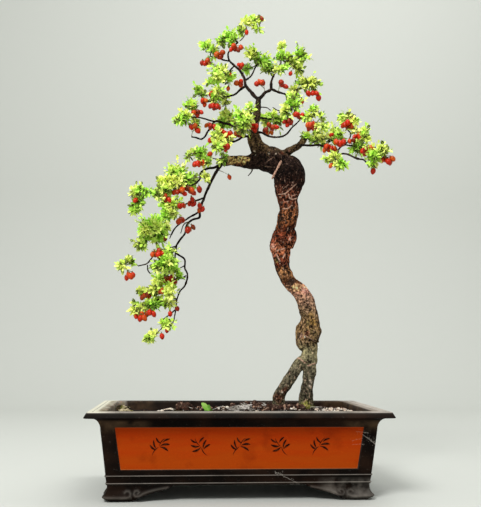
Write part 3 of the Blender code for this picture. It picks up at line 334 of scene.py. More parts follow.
def bars(routes, reach, columns, hints=None):
    """Closed bars round routes (bar, row, 3): rings of columns points at all rows but the first and last.

    Ring point = route + reach (cos a side + sin a other). The first and last rows are the poles. The
    hint for side is, unless given, the direction that the route turns along least.
    """
    count, rows = routes.shape[0], routes.shape[1] - 2
    headings = unit(routes[:, 2:] - routes[:, :-2])
    if hints is None:
        spread = np.einsum("nri,nrj->nij", headings, headings)
        hints = np.linalg.eigh(spread)[1][:, :, 0]
    side, other = across(headings, hints[:, None, :])
    angles = ring_angles(columns)[:, None]
    reach = np.broadcast_to(reach, (count, rows, columns))[..., None]
    ways = np.cos(angles) * side[:, :, None] + np.sin(angles) * other[:, :, None]
    rings = (routes[:, 1:-1, None] + reach * ways).reshape(count, -1, 3)
    points = np.concatenate((rings, routes[:, (0, -1)]), axis=1)
    return points.reshape(-1, 3), bar_faces(count, rows, columns)


def tube(route, reach, columns):
    """One closed bar along a route (row, 3) that ends flat at both of its ends."""
    return bars(np.concatenate((route[:1], route, route[-1:]))[None], reach[None], columns)


def grid_faces(rows, columns, is_ring=False):
    """Quads between neighbouring points of a grid, which a ring closes from its last column to its first."""
    row, column = np.meshgrid(np.arange(rows - 1), np.arange(columns - (not is_ring)), indexing="ij")
    after = (column + 1) % columns
    low, high = row * columns, (row + 1) * columns
    return np.stack((low + column, low + after, high + after, high + column), axis=-1).reshape(-1, 4)


def bar_faces(count, rows, columns):
    """Faces of closed bars: quads between neighbouring rings and triangles at both poles."""
    size = rows * columns + 2
    starts = (np.arange(count) * size)[:, None, None]
    ring = np.arange(columns)
    after = (ring + 1) % columns
    last = (rows - 1) * columns
    caps = np.concatenate((np.stack((np.full(columns, size - 2), after, ring), -1),
                           np.stack((np.full(columns, size - 1), last + ring, last + after), -1)))
    quads = grid_faces(rows, columns, is_ring=True)
    return [(quads[None] + starts).reshape(-1, 4), (caps[None] + starts).reshape(-1, 3)]


def join(shapes):
    """One list of points and faces from several."""
    points, faces, start = [], [], 0
    for some_points, some_faces in shapes:
        points.append(some_points)
        faces.extend(part + start for part in some_faces)
        start += len(some_points)
    return np.concatenate(points), faces


def make_mesh(name, points, faces, layers=None, sharp_angle=None):
    """Fill a mesh from arrays in mm, with named float or vector layers on its points."""
    mesh = bpy.data.meshes.new(name)
    mesh.vertices.add(len(points))
    mesh.vertices.foreach_set("co", np.asarray(points * MM, dtype=np.float32).ravel())
    counts = np.concatenate([np.full(len(part), part.shape[1]) for part in faces])
    corners = np.concatenate([part.ravel() for part in faces]).astype(np.int32)
    mesh.loops.add(len(corners))
    mesh.loops.foreach_set("vertex_index", corners)
    mesh.polygons.add(len(counts))
    mesh.polygons.foreach_set("loop_start", (np.cumsum(counts) - counts).astype(np.int32))
    mesh.update(calc_edges=True)
    for label, values in (layers or {}).items():
        layer = mesh.attributes.new(label, "FLOAT_VECTOR", "POINT")
        layer.data.foreach_set("vector", values.astype(np.float32).ravel())
    mesh.shade_smooth()
    if sharp_angle is not None:
        mesh.set_sharp_from_angle(angle=math.radians(sharp_angle))
    return mesh


def make_stemmed_mesh(name, body, label, values, stems, sharp_angle):
    """A mesh of leaves or berries with the first look and a layer, and of stems with the second look."""
    stem_points, stem_faces = join(stems)
    points, faces = join([body, (stem_points, stem_faces)])
    layers = {label: np.concatenate((values, np.zeros((len(stem_points), 3))))}
    mesh = make_mesh(name, points, faces, layers, sharp_angle)
    counts = [sum(map(len, body[1])), sum(map(len, stem_faces))]
    mesh.polygons.foreach_set("material_index", np.repeat(np.array((0, 1), dtype=np.int32), counts))
    return mesh


def place_object(name, data):
    """Put a new object into the scene."""
    item = bpy.data.objects.new(name, data)
    bpy.context.scene.collection.objects.link(item)
    return item


def put_piece(name, mesh, looks, stands_for=()):
    """Place a mesh in the scene as a piece of the bonsai, with its looks, slot and the nodes it replaces."""
    piece = place_object(name, mesh)
    for look in looks:
        mesh.materials.append(look)
    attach(piece, "root")
    if stands_for:
        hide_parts(*stands_for)


# Looks


def add(tree, kind, inputs, **settings):
    """Add a shader node, set its settings, and link or set its inputs."""
    node = tree.nodes.new("ShaderNode" + kind)
    for key, value in settings.items():
        setattr(node, key, value)
    for key, value in inputs.items():
        socket = node.inputs[key]
        if isinstance(value, Value):
            tree.links.new(value.socket, socket)
        else:
            socket.default_value = (*value, 1.0) if socket.type == "RGBA" else value
    return node


class Value:
    """A value, vector or colour in a shader tree, which signs and methods lead through further nodes."""

    def __init__(self, tree, socket):
        """Keep the tree and the socket that gives the value."""
        self.tree = tree
        self.socket = socket

    def through(self, kind, inputs, output=0, **settings):
        """An output of a new node in the same tree."""
        return Value(self.tree, add(self.tree, kind, inputs, **settings).outputs[output])

    def math(self, operation, *others):
        """One value worked out from this one and up to two others."""
        return self.through("Math", dict(enumerate((self, *others))), operation=operation)

    # What the signs and abs work out, and the greater of two values
    __add__ = functools.partialmethod(math, "ADD")
    __sub__ = functools.partialmethod(math, "SUBTRACT")
    __mul__ = functools.partialmethod(math, "MULTIPLY")
    __truediv__ = functools.partialmethod(math, "DIVIDE")
    __abs__ = functools.partialmethod(math, "ABSOLUTE")
    at_least = functools.partialmethod(math, "MAXIMUM")

    def between(self, low, high, out_low=0.0, out_high=1.0):
        """The value mapped from one span to another, held at the ends."""
        return self.through("MapRange", {0: self, 1: low, 2: high, 3: out_low, 4: out_high}, clamp=True)

    def vector(self, operation, other, output="Vector"):
        """A vector worked out from this one and another, or from this one and a scale."""
        key = "Scale" if operation == "SCALE" else 1
        return self.through("VectorMath", {0: self, key: other}, output, operation=operation)

    def measure(self, operation, other=(0.0, 0.0, 0.0)):
        """A value worked out from this vector and another."""
        return self.vector(operation, other, "Value")

    def parts(self):
        """The vector's three parts."""
        return [Value(self.tree, part) for part in add(self.tree, "SeparateXYZ", {0: self}).outputs]

    def noise(self, scale, detail=3.0):
        """A plain noise at this place."""
        return self.through("TexNoise", {"Vector": self, "Scale": scale, "Detail": detail})

    def patches(self, scale, low, high, detail=3.0):
        """The mask of the patches at this place."""
        return blotches(self, scale, low, high, detail)


def shared(**defaults):
    """Make a function of shader values into an effect that the looks share: a node group with these inputs.

    The group is made the first time that a look calls the function, and has the function's own name.
    """
    def wrap(build):
        @functools.wraps(build)
        def place(*values):
            name = build.__name__.capitalize()
            group = bpy.data.node_groups.get(name)
            if group is None:
                group = bpy.data.node_groups.new(name, "ShaderNodeTree")
                for label, default in defaults.items():
                    kind = "NodeSocketVector" if isinstance(default, tuple) else "NodeSocketFloat"
                    socket = group.interface.new_socket(label, in_out="INPUT", socket_type=kind)
                    socket.default_value = default
                group.interface.new_socket("Mask", in_out="OUTPUT", socket_type="NodeSocketFloat")
                starts = group.nodes.new("NodeGroupInput").outputs
                mask = build(*(Value(group, start) for start, _ in zip(starts, defaults)))
                group.links.new(mask.socket, group.nodes.new("NodeGroupOutput").inputs[0])
            return values[0].through("Group", dict(enumerate(values)), node_tree=group)
        return place
    return wrap


@shared(vector=(0, 0, 0), scale=50.0, low=0.45, high=0.6, detail=3.0)
def blotches(vector, scale, low, high, detail):
    """Patches: a noise of the given scale and detail, cut between two levels into a mask."""
    return vector.noise(scale, detail).between(low, high)


@shared(vector=(0, 0, 0), centre=(0, 0, 0), normal=(0, 0, 1), width=0.0005, reach=0.02)
def band(vector, centre, normal, width, reach):
    """A thin band where a plane through a centre cuts the surface, wavering, and fading with distance."""
    offset = vector.vector("SUBTRACT", centre)
    waver = vector.noise(60.0, 1.0).math("MULTIPLY_ADD", 0.004, -0.002)
    line = abs(offset.measure("DOT_PRODUCT", normal) + waver) / width
    fade = offset.measure("LENGTH") / reach
    return line.between(1.0, 0.5) * fade.between(1.0, 0.85)


@shared(vector=(0, 0, 0), centre=(0, 0, 0), reach=0.01)
def spot(vector, centre, reach):
    """A patch round a centre: 1 inside, fading at its reach, with an edge that a noise frays."""
    share = vector.vector("SUBTRACT", centre).measure("LENGTH") / reach
    drawn = vector.vector("MULTIPLY", (1.0, 1.0, 0.45))
    frayed = drawn.noise(230.0, 4.0).math("MULTIPLY_ADD", 1.4, -0.7)
    return (share + frayed).between(0.55, 0.95, 1.0, 0.0)


@shared(vector=(0, 0, 0), start=(0, 0, 0), way=(1, 0, 0), width=0.0005)
def stroke(vector, start, way, width):
    """A straight stroke on an upright face: 1 on the line between two ends, fading at its width, frayed."""
    offset = vector.vector("SUBTRACT", start).vector("MULTIPLY", (1.0, 0.0, 1.0))
    share = (offset.measure("DOT_PRODUCT", way) / way.measure("DOT_PRODUCT", way)).between(0.0, 1.0)
    gap = offset.measure("DISTANCE", way.vector("SCALE", share))
    fray = vector.noise(500.0, 4.0).between(0.36, 0.60, 0.3, 4.5)
    return (gap * fray / width).between(0.2, 1.4, 0.75, 0.0)


def dimmed(colour, share):
    """A colour with each part multiplied by a share."""
    return tuple(value * share for value in colour)


class Look:
    """A material under way: a colour that grows by layers, each laid over the last by a mask."""

    def __init__(self, name, colour, roughness=0.6, **constants):
        """Start from a plain colour, with constants for the shader's own sockets."""
        self.material = bpy.data.materials.new(name)
        self.material.use_nodes = True
        tree = self.material.node_tree
        self.shader = tree.nodes["Principled BSDF"]
        for label, value in {"Roughness": roughness, **constants}.items():
            self.shader.inputs[label.replace("_", " ")].default_value = value
        self.place = Value(tree, add(tree, "TexCoord", {}).outputs["Object"])
        self.colour = colour

    def layer(self, name):
        """The three parts of a layer stored on the piece's points."""
        return self.place.through("Attribute", {}, "Vector", attribute_name=name).parts()

    def mixed(self, mask, colour):
        """The colour so far, mixed with another by the mask."""
        return self.place.through("Mix", {0: mask, 6: self.colour, 7: colour}, 2, data_type="RGBA")

    def lay(self, mask, colour):
        """Cover the colour so far by another where the mask says so."""
        self.colour = self.mixed(mask, colour)

    def stain(self, colour, scale, low, high, strength=1.0, detail=3.0):
        """Lay a colour in patches."""
        self.lay(self.place.patches(scale, low, high, detail) * strength, colour)

    def ramp(self, value, stops):
        """Take the colour from stops of place and colour by a value."""
        node = add(value.tree, "ValToRGB", {0: value})
        elements = node.color_ramp.elements
        for element, stop in ((elements[0], stops[0]), (elements[1], stops[-1])):
            element.position = stop[0]
            element.color = (*stop[1], 1.0)
        for place, colour in stops[1:-1]:
            elements.new(place).color = (*colour, 1.0)
        self.colour = Value(value.tree, node.outputs[0])

    def done(self, height=None, depth=0.0005, roughness=None):
        """The material, once its colour, and its relief and roughness where they vary, feed the shader."""
        normal = height and height.through("Bump", {"Height": height, "Distance": depth})
        for label, value in (("Base Color", self.colour), ("Roughness", roughness), ("Normal", normal)):
            if value is not None:
                self.place.tree.links.new(value.socket, self.shader.inputs[label])
        return self.material


# Settings


def colour_setting(name, text, default):
    """A colour that the user may change."""
    return FloatVectorProperty(name=name, description=text, subtype="COLOR", size=3, min=0.0, max=1.0,
                               default=default)


def length_setting(name, text, default):
    """A length in metres that the user may change."""
    return FloatProperty(name=name, description=text, unit="LENGTH", min=0.0, default=default, precision=4)


def number_setting(name, text, default, **extra):
    """A number that the user may change, whole where its default is whole, with its subtype or unit."""
    kind = IntProperty if isinstance(default, int) else FloatProperty
    return kind(name=name, description=text, default=default, min=0, **extra)


class PotSettings(PropertyGroup):
    """Sizes and colours of the pot."""

    depth_less: length_setting("Depth less", "How much less the half depth is than the half length", 0.080)
    corner: length_setting("Corner", "Radius of the pot's upright corners", 0.004)
    panel_depth: length_setting("Panel depth", "How far the panels lie below the walls", 0.0018)
    clay: colour_setting("Clay", "Colour of the dark clay", (0.0032, 0.0018, 0.0012))
    clay_warm: colour_setting("Warm clay", "Colour of the clay's browner patches", (0.014, 0.0065, 0.0036))
    # The pale film: dust, and on the lip's top painted sheen as well
    dust_and_sheen: colour_setting("Dust_and_sheen", "Colour of the pale film on edges and on the lip", (0.517, 0.464, 0.403))
    slip: colour_setting("Slip", "Colour of the painted panels", (0.352, 0.045, 0.0013))
    slip_deep: colour_setting("Deep slip", "Colour of the panels' redder places", (0.36, 0.031, 0.0008))
    ink: colour_setting("Ink", "Colour of the painted sprigs", (0.0091, 0.003, 0.0023))


class SoilSettings(PropertyGroup):
    """Sizes and colours of the soil and what lies on it."""

    relief: length_setting("Relief", "Height of the soil's lumps", 0.0026)
    crumbs: number_setting("Crumbs", "How many crumbs of earth lie loose", 420)
    earth: colour_setting("Earth", "Colour of damp soil", (0.0076, 0.0044, 0.0029))
    earth_dry: colour_setting("Dry earth", "Colour of the soil's drier lumps", (0.032, 0.017, 0.011))
    stone: colour_setting("Stone", "Colour of the gravel", (0.456, 0.334, 0.266))
    straw: colour_setting("Straw", "Colour of the dry stalks", (0.395, 0.372, 0.334))
    moss: colour_setting("Moss", "Colour of the moss", (0.129, 0.122, 0.023))


class WoodSettings(PropertyGroup):
    """Sizes and colours of the trunk and the twigs."""

    grain: length_setting("Grain", "Size of the grid that the trunk's surface is made on", 0.0009)
    ridges: length_setting("Ridges", "Height of the bark's ridges", 0.0016)
    twig_waver: length_setting("Waver", "How far twigs waver about their line", 0.0007)
    speckle: number_setting("Speckle", "Strength of the bark's fine specks", 0.95, subtype="FACTOR")
    streaks: number_setting("Streaks", "Strength of the bark's streaks", 0.70, subtype="FACTOR")
    flecks: number_setting("Flecks", "Strength of the bark's pale flecks", 0.8, subtype="FACTOR")
    # Dimmed, this colour is also the painted shade in the bark's furrows
    dark: colour_setting("Dark bark", "Colour of furrows and of browner twigs", (0.021, 0.012, 0.0078))
    twig: colour_setting("Twigs", "Colour of the twigs", (0.0084, 0.0061, 0.0046))
    worn: colour_setting("Worn twigs", "Colour of the twigs' worn places", (0.122, 0.072, 0.042))
    crack: colour_setting("Cracks", "Colour of pale cracks and dead strips", (0.593, 0.357, 0.258))


class LeafSettings(PropertyGroup):
    """Sizes and colours of the leaves."""

    length: length_setting("Length", "Length of a middling leaf", 0.0076)
    width: length_setting("Width", "Width of a middling leaf", 0.0041)
    thickness: length_setting("Thickness", "Thickness of a leaf at its midrib", 0.0004)
    shoots: number_setting("Shoots", "Shoots in a tuft of middling reach", 12.5)
    per_shoot: number_setting("Leaves per shoot", "Leaves on each shoot", 7)
    spread: number_setting("Spread", "How much wider tufts are than their reach", 1.36)
    young: colour_setting("Young", "Colour of the youngest leaves", (0.92, 1.0, 0.26))
    ripe: colour_setting("Full-grown", "Colour of full-grown leaves", (0.73, 0.94, 0.115))
    fresh: colour_setting("Fresh", "Colour of the greener patches", (0.38, 0.84, 0.05))
    old: colour_setting("Old", "Colour of the oldest leaves", (0.018, 0.050, 0.002))


class BerrySettings(PropertyGroup):
    """Sizes and colours of the berries."""

    length: length_setting("Length", "Length of a middling berry", 0.0106)
    width: length_setting("Width", "Width of a middling berry", 0.0076)
    plenty: number_setting("Plenty", "How many berries hang for each one listed", 1.4)
    stalk: length_setting("Stalk", "Radius of a berry's stalk", 0.00035)
    ripe: colour_setting("Ripe", "Colour of ripe berries", (0.53, 0.020, 0.0034))
    turning: colour_setting("Turning", "Colour of berries that are still turning", (0.56, 0.110, 0.008))
    # Dark berries at random: dry ones, and painted shade for berries that hang in shade
    dry: colour_setting("Dry", "Colour of berries past their best", (0.122, 0.018, 0.0046))
    stem: colour_setting("Stem", "Colour of the stalks and calyxes", (0.152, 0.182, 0.042))


class StageSettings(PropertyGroup):
    """Colours and strengths of the floor and the light."""

    floor: colour_setting("Floor", "Colour of the floor and the backdrop", (0.535, 0.548, 0.512))
    overhead: number_setting("Overhead light", "Strength of the wide light above", 14.0, unit="POWER")
    key: number_setting("Key light", "Strength of the main light", 50.0, unit="POWER")
    backdrop: number_setting("Backdrop light", "Strength of the light behind the pot", 29.0, unit="POWER")
    sky: number_setting("Sky", "Strength of the even light from all round", 0.56)


GROUPS = {"pot": PotSettings, "soil": SoilSettings, "wood": WoodSettings, "leaf": LeafSettings,
          "berry": BerrySettings, "stage": StageSettings}


def settings(name):
    """The scene's settings of one kind."""
    return getattr(bpy.context.scene, "bonsai_" + name)


# Pot, in mm

FLOOR_TOP = 30.0
BODY_BOTTOM = 20.0
BODY_TOP = 90.5
COVE_TOP = 105.5
COVE_HALVES = (180.3, 191.0)
LIP_TOP = 114.0
LIP_HALF = 200.0
PANEL_BOTTOM = 39.5
PANEL_TOP = 94.0
PANEL_FOOT_HALF = 154.5
PANEL_EDGE_ROWS = (-1.6, -0.9, -0.5, -0.2, 0.1, 0.4, 0.8, 1.5)
FAR_OUTSIDE = -50.0
NO_PANEL = -5.0
PANEL_SLOPE = 0.8
WALL_WAVER = 0.25
DRAIN_X = 80.0
DRAIN_RADIUS = 11.0
DRAIN_SIDES = 24


def leaning(foot, top, low, high):
    """A function that gives a half length by height: it grows evenly from the foot's to the top's."""
    return lambda height: foot + (top - foot) * (height - low) / (high - low)


wall_half = leaning(171.5, 180.3, BODY_BOTTOM, BODY_TOP)
inner_half = leaning(159.0, 174.0, FLOOR_TOP, LIP_TOP)
panel_half = leaning(PANEL_FOOT_HALF, 162.5, PANEL_BOTTOM, PANEL_TOP)


def cove_half(height):
    """Half length where the wall sweeps out under the lip: a quarter of an ellipse."""
    share = np.clip((height - BODY_TOP) / (COVE_TOP - BODY_TOP), 0.0, 1.0)
    low, high = COVE_HALVES
    return low + (high - low) * (1 - np.sqrt(1 - share * share))


# The two beads' middle heights, and a bead's rows: way out of the wall, way up from the middle, wear, dust
BEADS = (22.5, 32.0)
BEAD_ROWS = ((-0.1, -1.9, 0, 0), (0.1, -1.2, 0, 0), (0.9, -0.6, 0.1, 0), (1.1, 0, 0.3, 0.10),
             (0.95, 0.5, 0.6, 0.42), (0.6, 0.8, 0.2, 0.12), (0.1, 1.2, 0, 0), (0.1, 2.2, 0, 0))
# Heights of the rows on the wall and in the cove
WALL_ROWS = (36, 37, *(PANEL_BOTTOM + step for step in PANEL_EDGE_ROWS), 44, 50, 56, 62, 68, 74, 80, 86, 90)
COVE_ROWS = (*(PANEL_TOP - step for step in reversed(PANEL_EDGE_ROWS)),
             97, 99, 101, 102.8, 104.2, 105.1, COVE_TOP)
# Rows over the lip: half length, height, wear and dust. On the lip's top the dust is also painted sheen;
# wear below zero marks the groove, which is painted shade
LIP_ROWS = [(194, 105.8, 0, 0), (198.6, 106.3, 0, 0), (199.6, 106.6, 0.05, 0), (LIP_HALF, 107.3, 0.1, 0.005),
            (199.2, 108.6, 0, 0.005), (198.4, 110.1, 0, 0.008), (197.6, 111.6, 0.05, 0.015),
            (196.9, 112.8, 0.1, 0.06), (196.4, 113.6, 0.5, 0.7), (195.6, LIP_TOP, 0.8, 1),
            (192, 114.05, 0.2, 1), (190.2, 114, 0, 1), (189.9, 113.7, -0.6, 0.6), (189.5, 113.7, -0.6, 0.6),
            (189.2, 114, 0, 1), (184, 114.05, 0, 1), (179, 114, 0, 1), (175.6, 113.9, 0.3, 0.8),
            (174.5, 113.4, 0.6, 0.5), (inner_half(112.4), 112.4, 0.2, 0.3)]


def pot_profile():
    """Rows of half length, height, wear and dust, up the outside, over the lip and down the inside."""
    rows = [(170.9, 20.0, 0, 0), (171.5, 20.5, 0.2, 0.1)]
    for bead in BEADS:
        rows += [(wall_half(bead) + out, bead + up, wear, dust_and_sheen) for out, up, wear, dust_and_sheen in BEAD_ROWS]
    rows += [(wall_half(height), height, 0, 0) for height in WALL_ROWS]
    rows += [(cove_half(height), height, 0, 0) for height in COVE_ROWS]
    rows += LIP_ROWS
    rows += [(inner_half(height), height, 0, 0.012) for height in (108, 100, 80, 50, 33)]
    rows += [(inner_half(FLOOR_TOP) - 1, 30.4, 0, 0), (inner_half(FLOOR_TOP) - 3, FLOOR_TOP, 0, 0)]
    return np.array(rows, dtype=float)


def pot_rings(half, height, deep, corner):
    """Points round the pot at each row: straight walls joined by quarter-circle corners.

    Across the front and back the columns follow the panels' leaning ends, x = share times half length.
    """
    half, deep, edge = half[:, None], deep[:, None], panel_half(height)[:, None]
    near = 1 + np.array((-2.0, -0.8, -0.25, 0.25, 0.8)) / PANEL_FOOT_HALF
    inner = np.concatenate((-near[::-1], np.linspace(-0.96, 0.96, 25), near))
    outer = np.array((0.2, 0.5, 0.8, 1.0))
    right = edge * near[-1] * (1 - outer) + (half - corner) * outer
    front_x = np.concatenate((-right[:, ::-1], edge * inner, right), axis=1)
    side_y = np.linspace(-1, 1, 15) * (deep - corner)
    angles = np.radians((-72, -54, -36, -18))
    arc_x = half - corner + corner * np.cos(angles)
    arc_y = corner - deep + corner * np.sin(angles)
    x = np.concatenate((front_x, arc_x, half + 0 * side_y, arc_x[:, ::-1]), axis=1)
    y = np.concatenate((0 * front_x - deep, arc_y, side_y, -arc_y[:, ::-1]), axis=1)
    x, y = np.concatenate((x, -x), axis=1), np.concatenate((y, -y), axis=1)
    return np.stack((x, y, np.broadcast_to(height[:, None], x.shape)), axis=-1)


def pierced(outline, discs, is_upward):
    """Triangles over a flat outline with round holes, as places in the outline and discs end to end."""
    faces = np.array(tessellate_polygon([line.tolist() for line in (outline, *discs)]))
    corners = np.concatenate((outline, *discs))[faces]
    rises = np.cross(corners[:, 1] - corners[:, 0], corners[:, 2] - corners[:, 0])[:, 2] > 0
    faces[rises != is_upward] = faces[rises != is_upward][:, ::-1]
    return faces


def make_pot_mesh(pot):
    """The pot's body: rings joined in rows, with a flat underside and floor that two drain holes pierce.

    The layer holds wear, dust and how deep in mm each point lies inside a panel's outline. On the lip's top
    the dust is also painted sheen; wear below zero marks the lip's groove for painted shade.
    """
    half, height, wear, dust_and_sheen = pot_profile().T
    depth_less = pot.depth_less / MM
    rings = pot_rings(half, height, half - depth_less, pot.corner / MM)
    x, y, z = np.moveaxis(rings, -1, 0)
    rows, columns = x.shape
    row = np.arange(rows)[:, None]
    inset = np.minimum(panel_half(z) - np.abs(x), np.minimum(z - PANEL_BOTTOM, PANEL_TOP - z))
    on_face = (np.abs(y) > wall_half(z) - depth_less - 0.5) & (row < np.argmax(height >= COVE_TOP - 6))
    inset = np.where(on_face, inset, FAR_OUTSIDE)
    y -= np.sign(y) * ease(inset / PANEL_SLOPE + 0.5) * pot.panel_depth / MM
    x += np.sign(x) * ripple(rings * 0.02, 5) * WALL_WAVER * (np.abs(x) > 60)
    wear = wear[:, None] + hill((inset - 0.2) / 0.7) * 0.5
    dust_and_sheen = np.broadcast_to(dust_and_sheen[:, None], x.shape)
    # The dust, which on the lip's top is also painted sheen, lies thickest at the lip's left end and not on
    # the inner wall's right; on the lip's back it is taken almost off, as painted shade
    is_lip = (dust_and_sheen > 0.25) & (z > LIP_TOP - 2)
    paler = 0.52 + 0.48 * ease((-x - 150) / 30) + 0.30 * ease((x - 150) / 30)
    shaded_back = ease((y - 20) / 60) * (1 - ease((np.abs(x) - 168) / 10))
    dust_and_sheen = dust_and_sheen * np.where(is_lip, paler * (1 - 0.97 * shaded_back), 1.0)
    is_inside = row > np.argmax(height)
    is_right = ease((x - 120) / 30) * (z < LIP_TOP - 0.2)
    dust_and_sheen = np.maximum(dust_and_sheen * (1 - 0.9 * is_inside * is_right), 0.55 * is_inside * ease((-x - 158) / 7))
    finish = np.stack((wear, dust_and_sheen, np.maximum(inset, NO_PANEL)), -1).reshape(-1, 3)

    angles = ring_angles(DRAIN_SIDES)
    disc = np.stack((DRAIN_RADIUS * np.cos(angles), DRAIN_RADIUS * np.sin(angles), 0 * angles), -1)
    low, high = ([disc + (x, 0, z) for x in (-DRAIN_X, DRAIN_X)] for z in (BODY_BOTTOM, FLOOR_TOP))
    size, up = rows * columns, 2 * DRAIN_SIDES
    below, above = pierced(rings[0], low, False), pierced(rings[-1], high, True)
    below = np.where(below < columns, below, below - columns + size)
    above = np.where(above < columns, above + size - columns, above - columns + size + up)
    around = np.arange(DRAIN_SIDES) + size
    after = np.roll(around, -1)
    walls = [np.stack((around, around + up, after + up, after), -1) + start for start in (0, DRAIN_SIDES)]
    bare = np.tile((0.0, 0.0, NO_PANEL), (2 * up, 1))
    faces = grid_faces(rows, columns, is_ring=True)
    points = np.concatenate((rings.reshape(-1, 3), *low, *high))
    layers = {"finish": np.concatenate((finish, bare))}
    mesh = make_mesh("pot_body", points, [faces, *walls, below, above], layers, 35)
    looks = np.zeros(len(mesh.polygons), dtype=np.int32)
    looks[:len(faces)] = inset.reshape(-1)[faces].min(axis=1) > 0.35
    mesh.polygons.foreach_set("material_index", looks)
    return mesh


# A foot by height: how far out its face stands, and where its arms start along the front and the end
FOOT_LEVELS = np.array(((0, 168, 140, 60), (3, 174, 133, 53), (6.5, 175.5, 127, 48), (10.5, 172.5, 115, 39),
                        (14, 171, 100, 29), (17.5, 170.8, 90, 21), (21, 170.8, 84, 16)))
FOOT_TOP = 21.6
FOOT_WALL = 12.0
FOOT_ARC = 4.0
TOE_HEIGHT = 5.6
# The scroll on a foot's face as lines of way out and height, and its height and half width
SCROLLS = (((176, 5.4), (160, 5.0), (150, 4.6), (144, 5.2), (140.5, 7.5), (140, 10.5), (142, 13),
            (145.5, 13.3), (147.5, 11.5)),
           ((93, 17), (105, 15.2), (117, 12.6), (124.5, 10.2), (129, 7.6), (133.5, 7.4), (136, 10),
            (134.5, 13.2), (131, 13.8), (129, 11.8), (130.8, 10.3)))
SCROLL_HEIGHT = 1.9
SCROLL_WIDTH = 1.6


def line_distance(across_values, heights, line):
    """Distance from each place to a broken line: the least over its stretches."""
    line = np.array(line, dtype=float)
    start, step = line[:-1], np.diff(line, axis=0)
    place = np.stack((across_values, heights), -1)[..., None, :] - start
    share = np.clip((place * step).sum(-1) / (step * step).sum(-1), 0.0, 1.0)
    return np.linalg.norm(place - share[..., None] * step, axis=-1).min(axis=-1)


def make_foot(sign_x, sign_y, depth_less):
    """One scroll foot as a bar along an L: each section is a wall that flares outside to a toe.

    Outside offset = the flare at that height + the scroll, a ridge h exp(-(d / w)^2) where d is the
    distance to the scroll's lines. The bottom follows the arch between the feet.
    """
    heights, faces_out, front_starts, end_starts = FOOT_LEVELS.T
    corner_x = faces_out[-1] - FOOT_ARC
    corner_y = corner_x - depth_less
    front = np.linspace(front_starts[-1], corner_x, 116)
    end = np.linspace(corner_y, end_starts[-1], 96)
    turn = np.radians(np.linspace(0, 90, 9)[1:-1])
    still = np.zeros(len(turn))
    centre_x = np.concatenate((front, still + corner_x, 0 * end + corner_x))
    centre_y = np.concatenate((0 * front + corner_y, still + corner_y, end))
    out_x = np.concatenate((0 * front, np.sin(turn), 0 * end + 1))
    out_y = np.concatenate((0 * front + 1, np.cos(turn), 0 * end))
    low = np.concatenate((np.interp(front, front_starts[::-1], heights[::-1]), still,
                          np.interp(end, end_starts[::-1], heights[::-1])))[:, None]
    z = low + np.concatenate((np.linspace(1, 0.08, 28), (0.04, 0.0))) * (FOOT_TOP - low)
    way_out = np.concatenate((front, still + corner_x + 3, end + depth_less))[:, None] + 0 * z
    ridge = hill(np.min([line_distance(way_out, z, line) for line in SCROLLS], axis=0) / SCROLL_WIDTH)
    outside = FOOT_ARC + np.interp(z, heights, faces_out) - faces_out[-1] + ridge * SCROLL_HEIGHT
    inner_z = low + np.array((0.0, 0.08, 0.5, 1.0)) * (FOOT_TOP - low)
    inside = FOOT_ARC - FOOT_WALL + np.array((2.0, 0.4, 0.0, 0.0)) + 0 * inner_z
    offsets = np.concatenate((outside, inside), axis=1)
    x = centre_x[:, None] + out_x[:, None] * offsets
    y = centre_y[:, None] + out_y[:, None] * offsets
    rings = np.stack((sign_x * x, sign_y * y, np.concatenate((z, inner_z), axis=1)), axis=-1)
    points = np.concatenate((rings.reshape(-1, 3), rings[(0, -1),].mean(axis=1)))
    faces = bar_faces(1, *x.shape)
    if sign_x * sign_y > 0:
        faces = [part[:, ::-1] for part in faces]
    # Painted highlights: the toe and the scroll's ridges are marked worn, so the clay lays pale wear and
    # dust there, for light on these ridges as well as for wear
    toe = hill((z - TOE_HEIGHT) / 1.6) * (way_out > 138)
    worn = np.concatenate((np.maximum(ridge * 0.75, toe * 0.8), 0 * inner_z), axis=1).reshape(-1)
    return points, faces, np.concatenate((worn, (0.0, 0.0)))


# Chalky strokes on the front as x and height of both ends, and their half width
STROKES = ((152, 88, 166, 86, 1.3), (160, 84, 176, 72, 1.5), (168, 80, 178, 69, 0.8),
           (146, 76, 160, 79, 0.8), (147, 71, 162, 71.5, 0.7), (46, 35.5, 55, 33, 1.3),
           (50, 34, 78, 20, 0.8), (64, 20.5, 77, 19.5, 0.9))


def scratches(place):
    """All the chalky strokes on the front face, as one mask."""
    masks = [stroke(place, (x * MM, 0.0, z * MM), ((x_end - x) * MM, 0.0, (z_end - z) * MM), width * MM)
             for x, z, x_end, z_end, width in STROKES]
    return functools.reduce(Value.at_least, masks) * place.parts()[1].between(-0.080, -0.085)


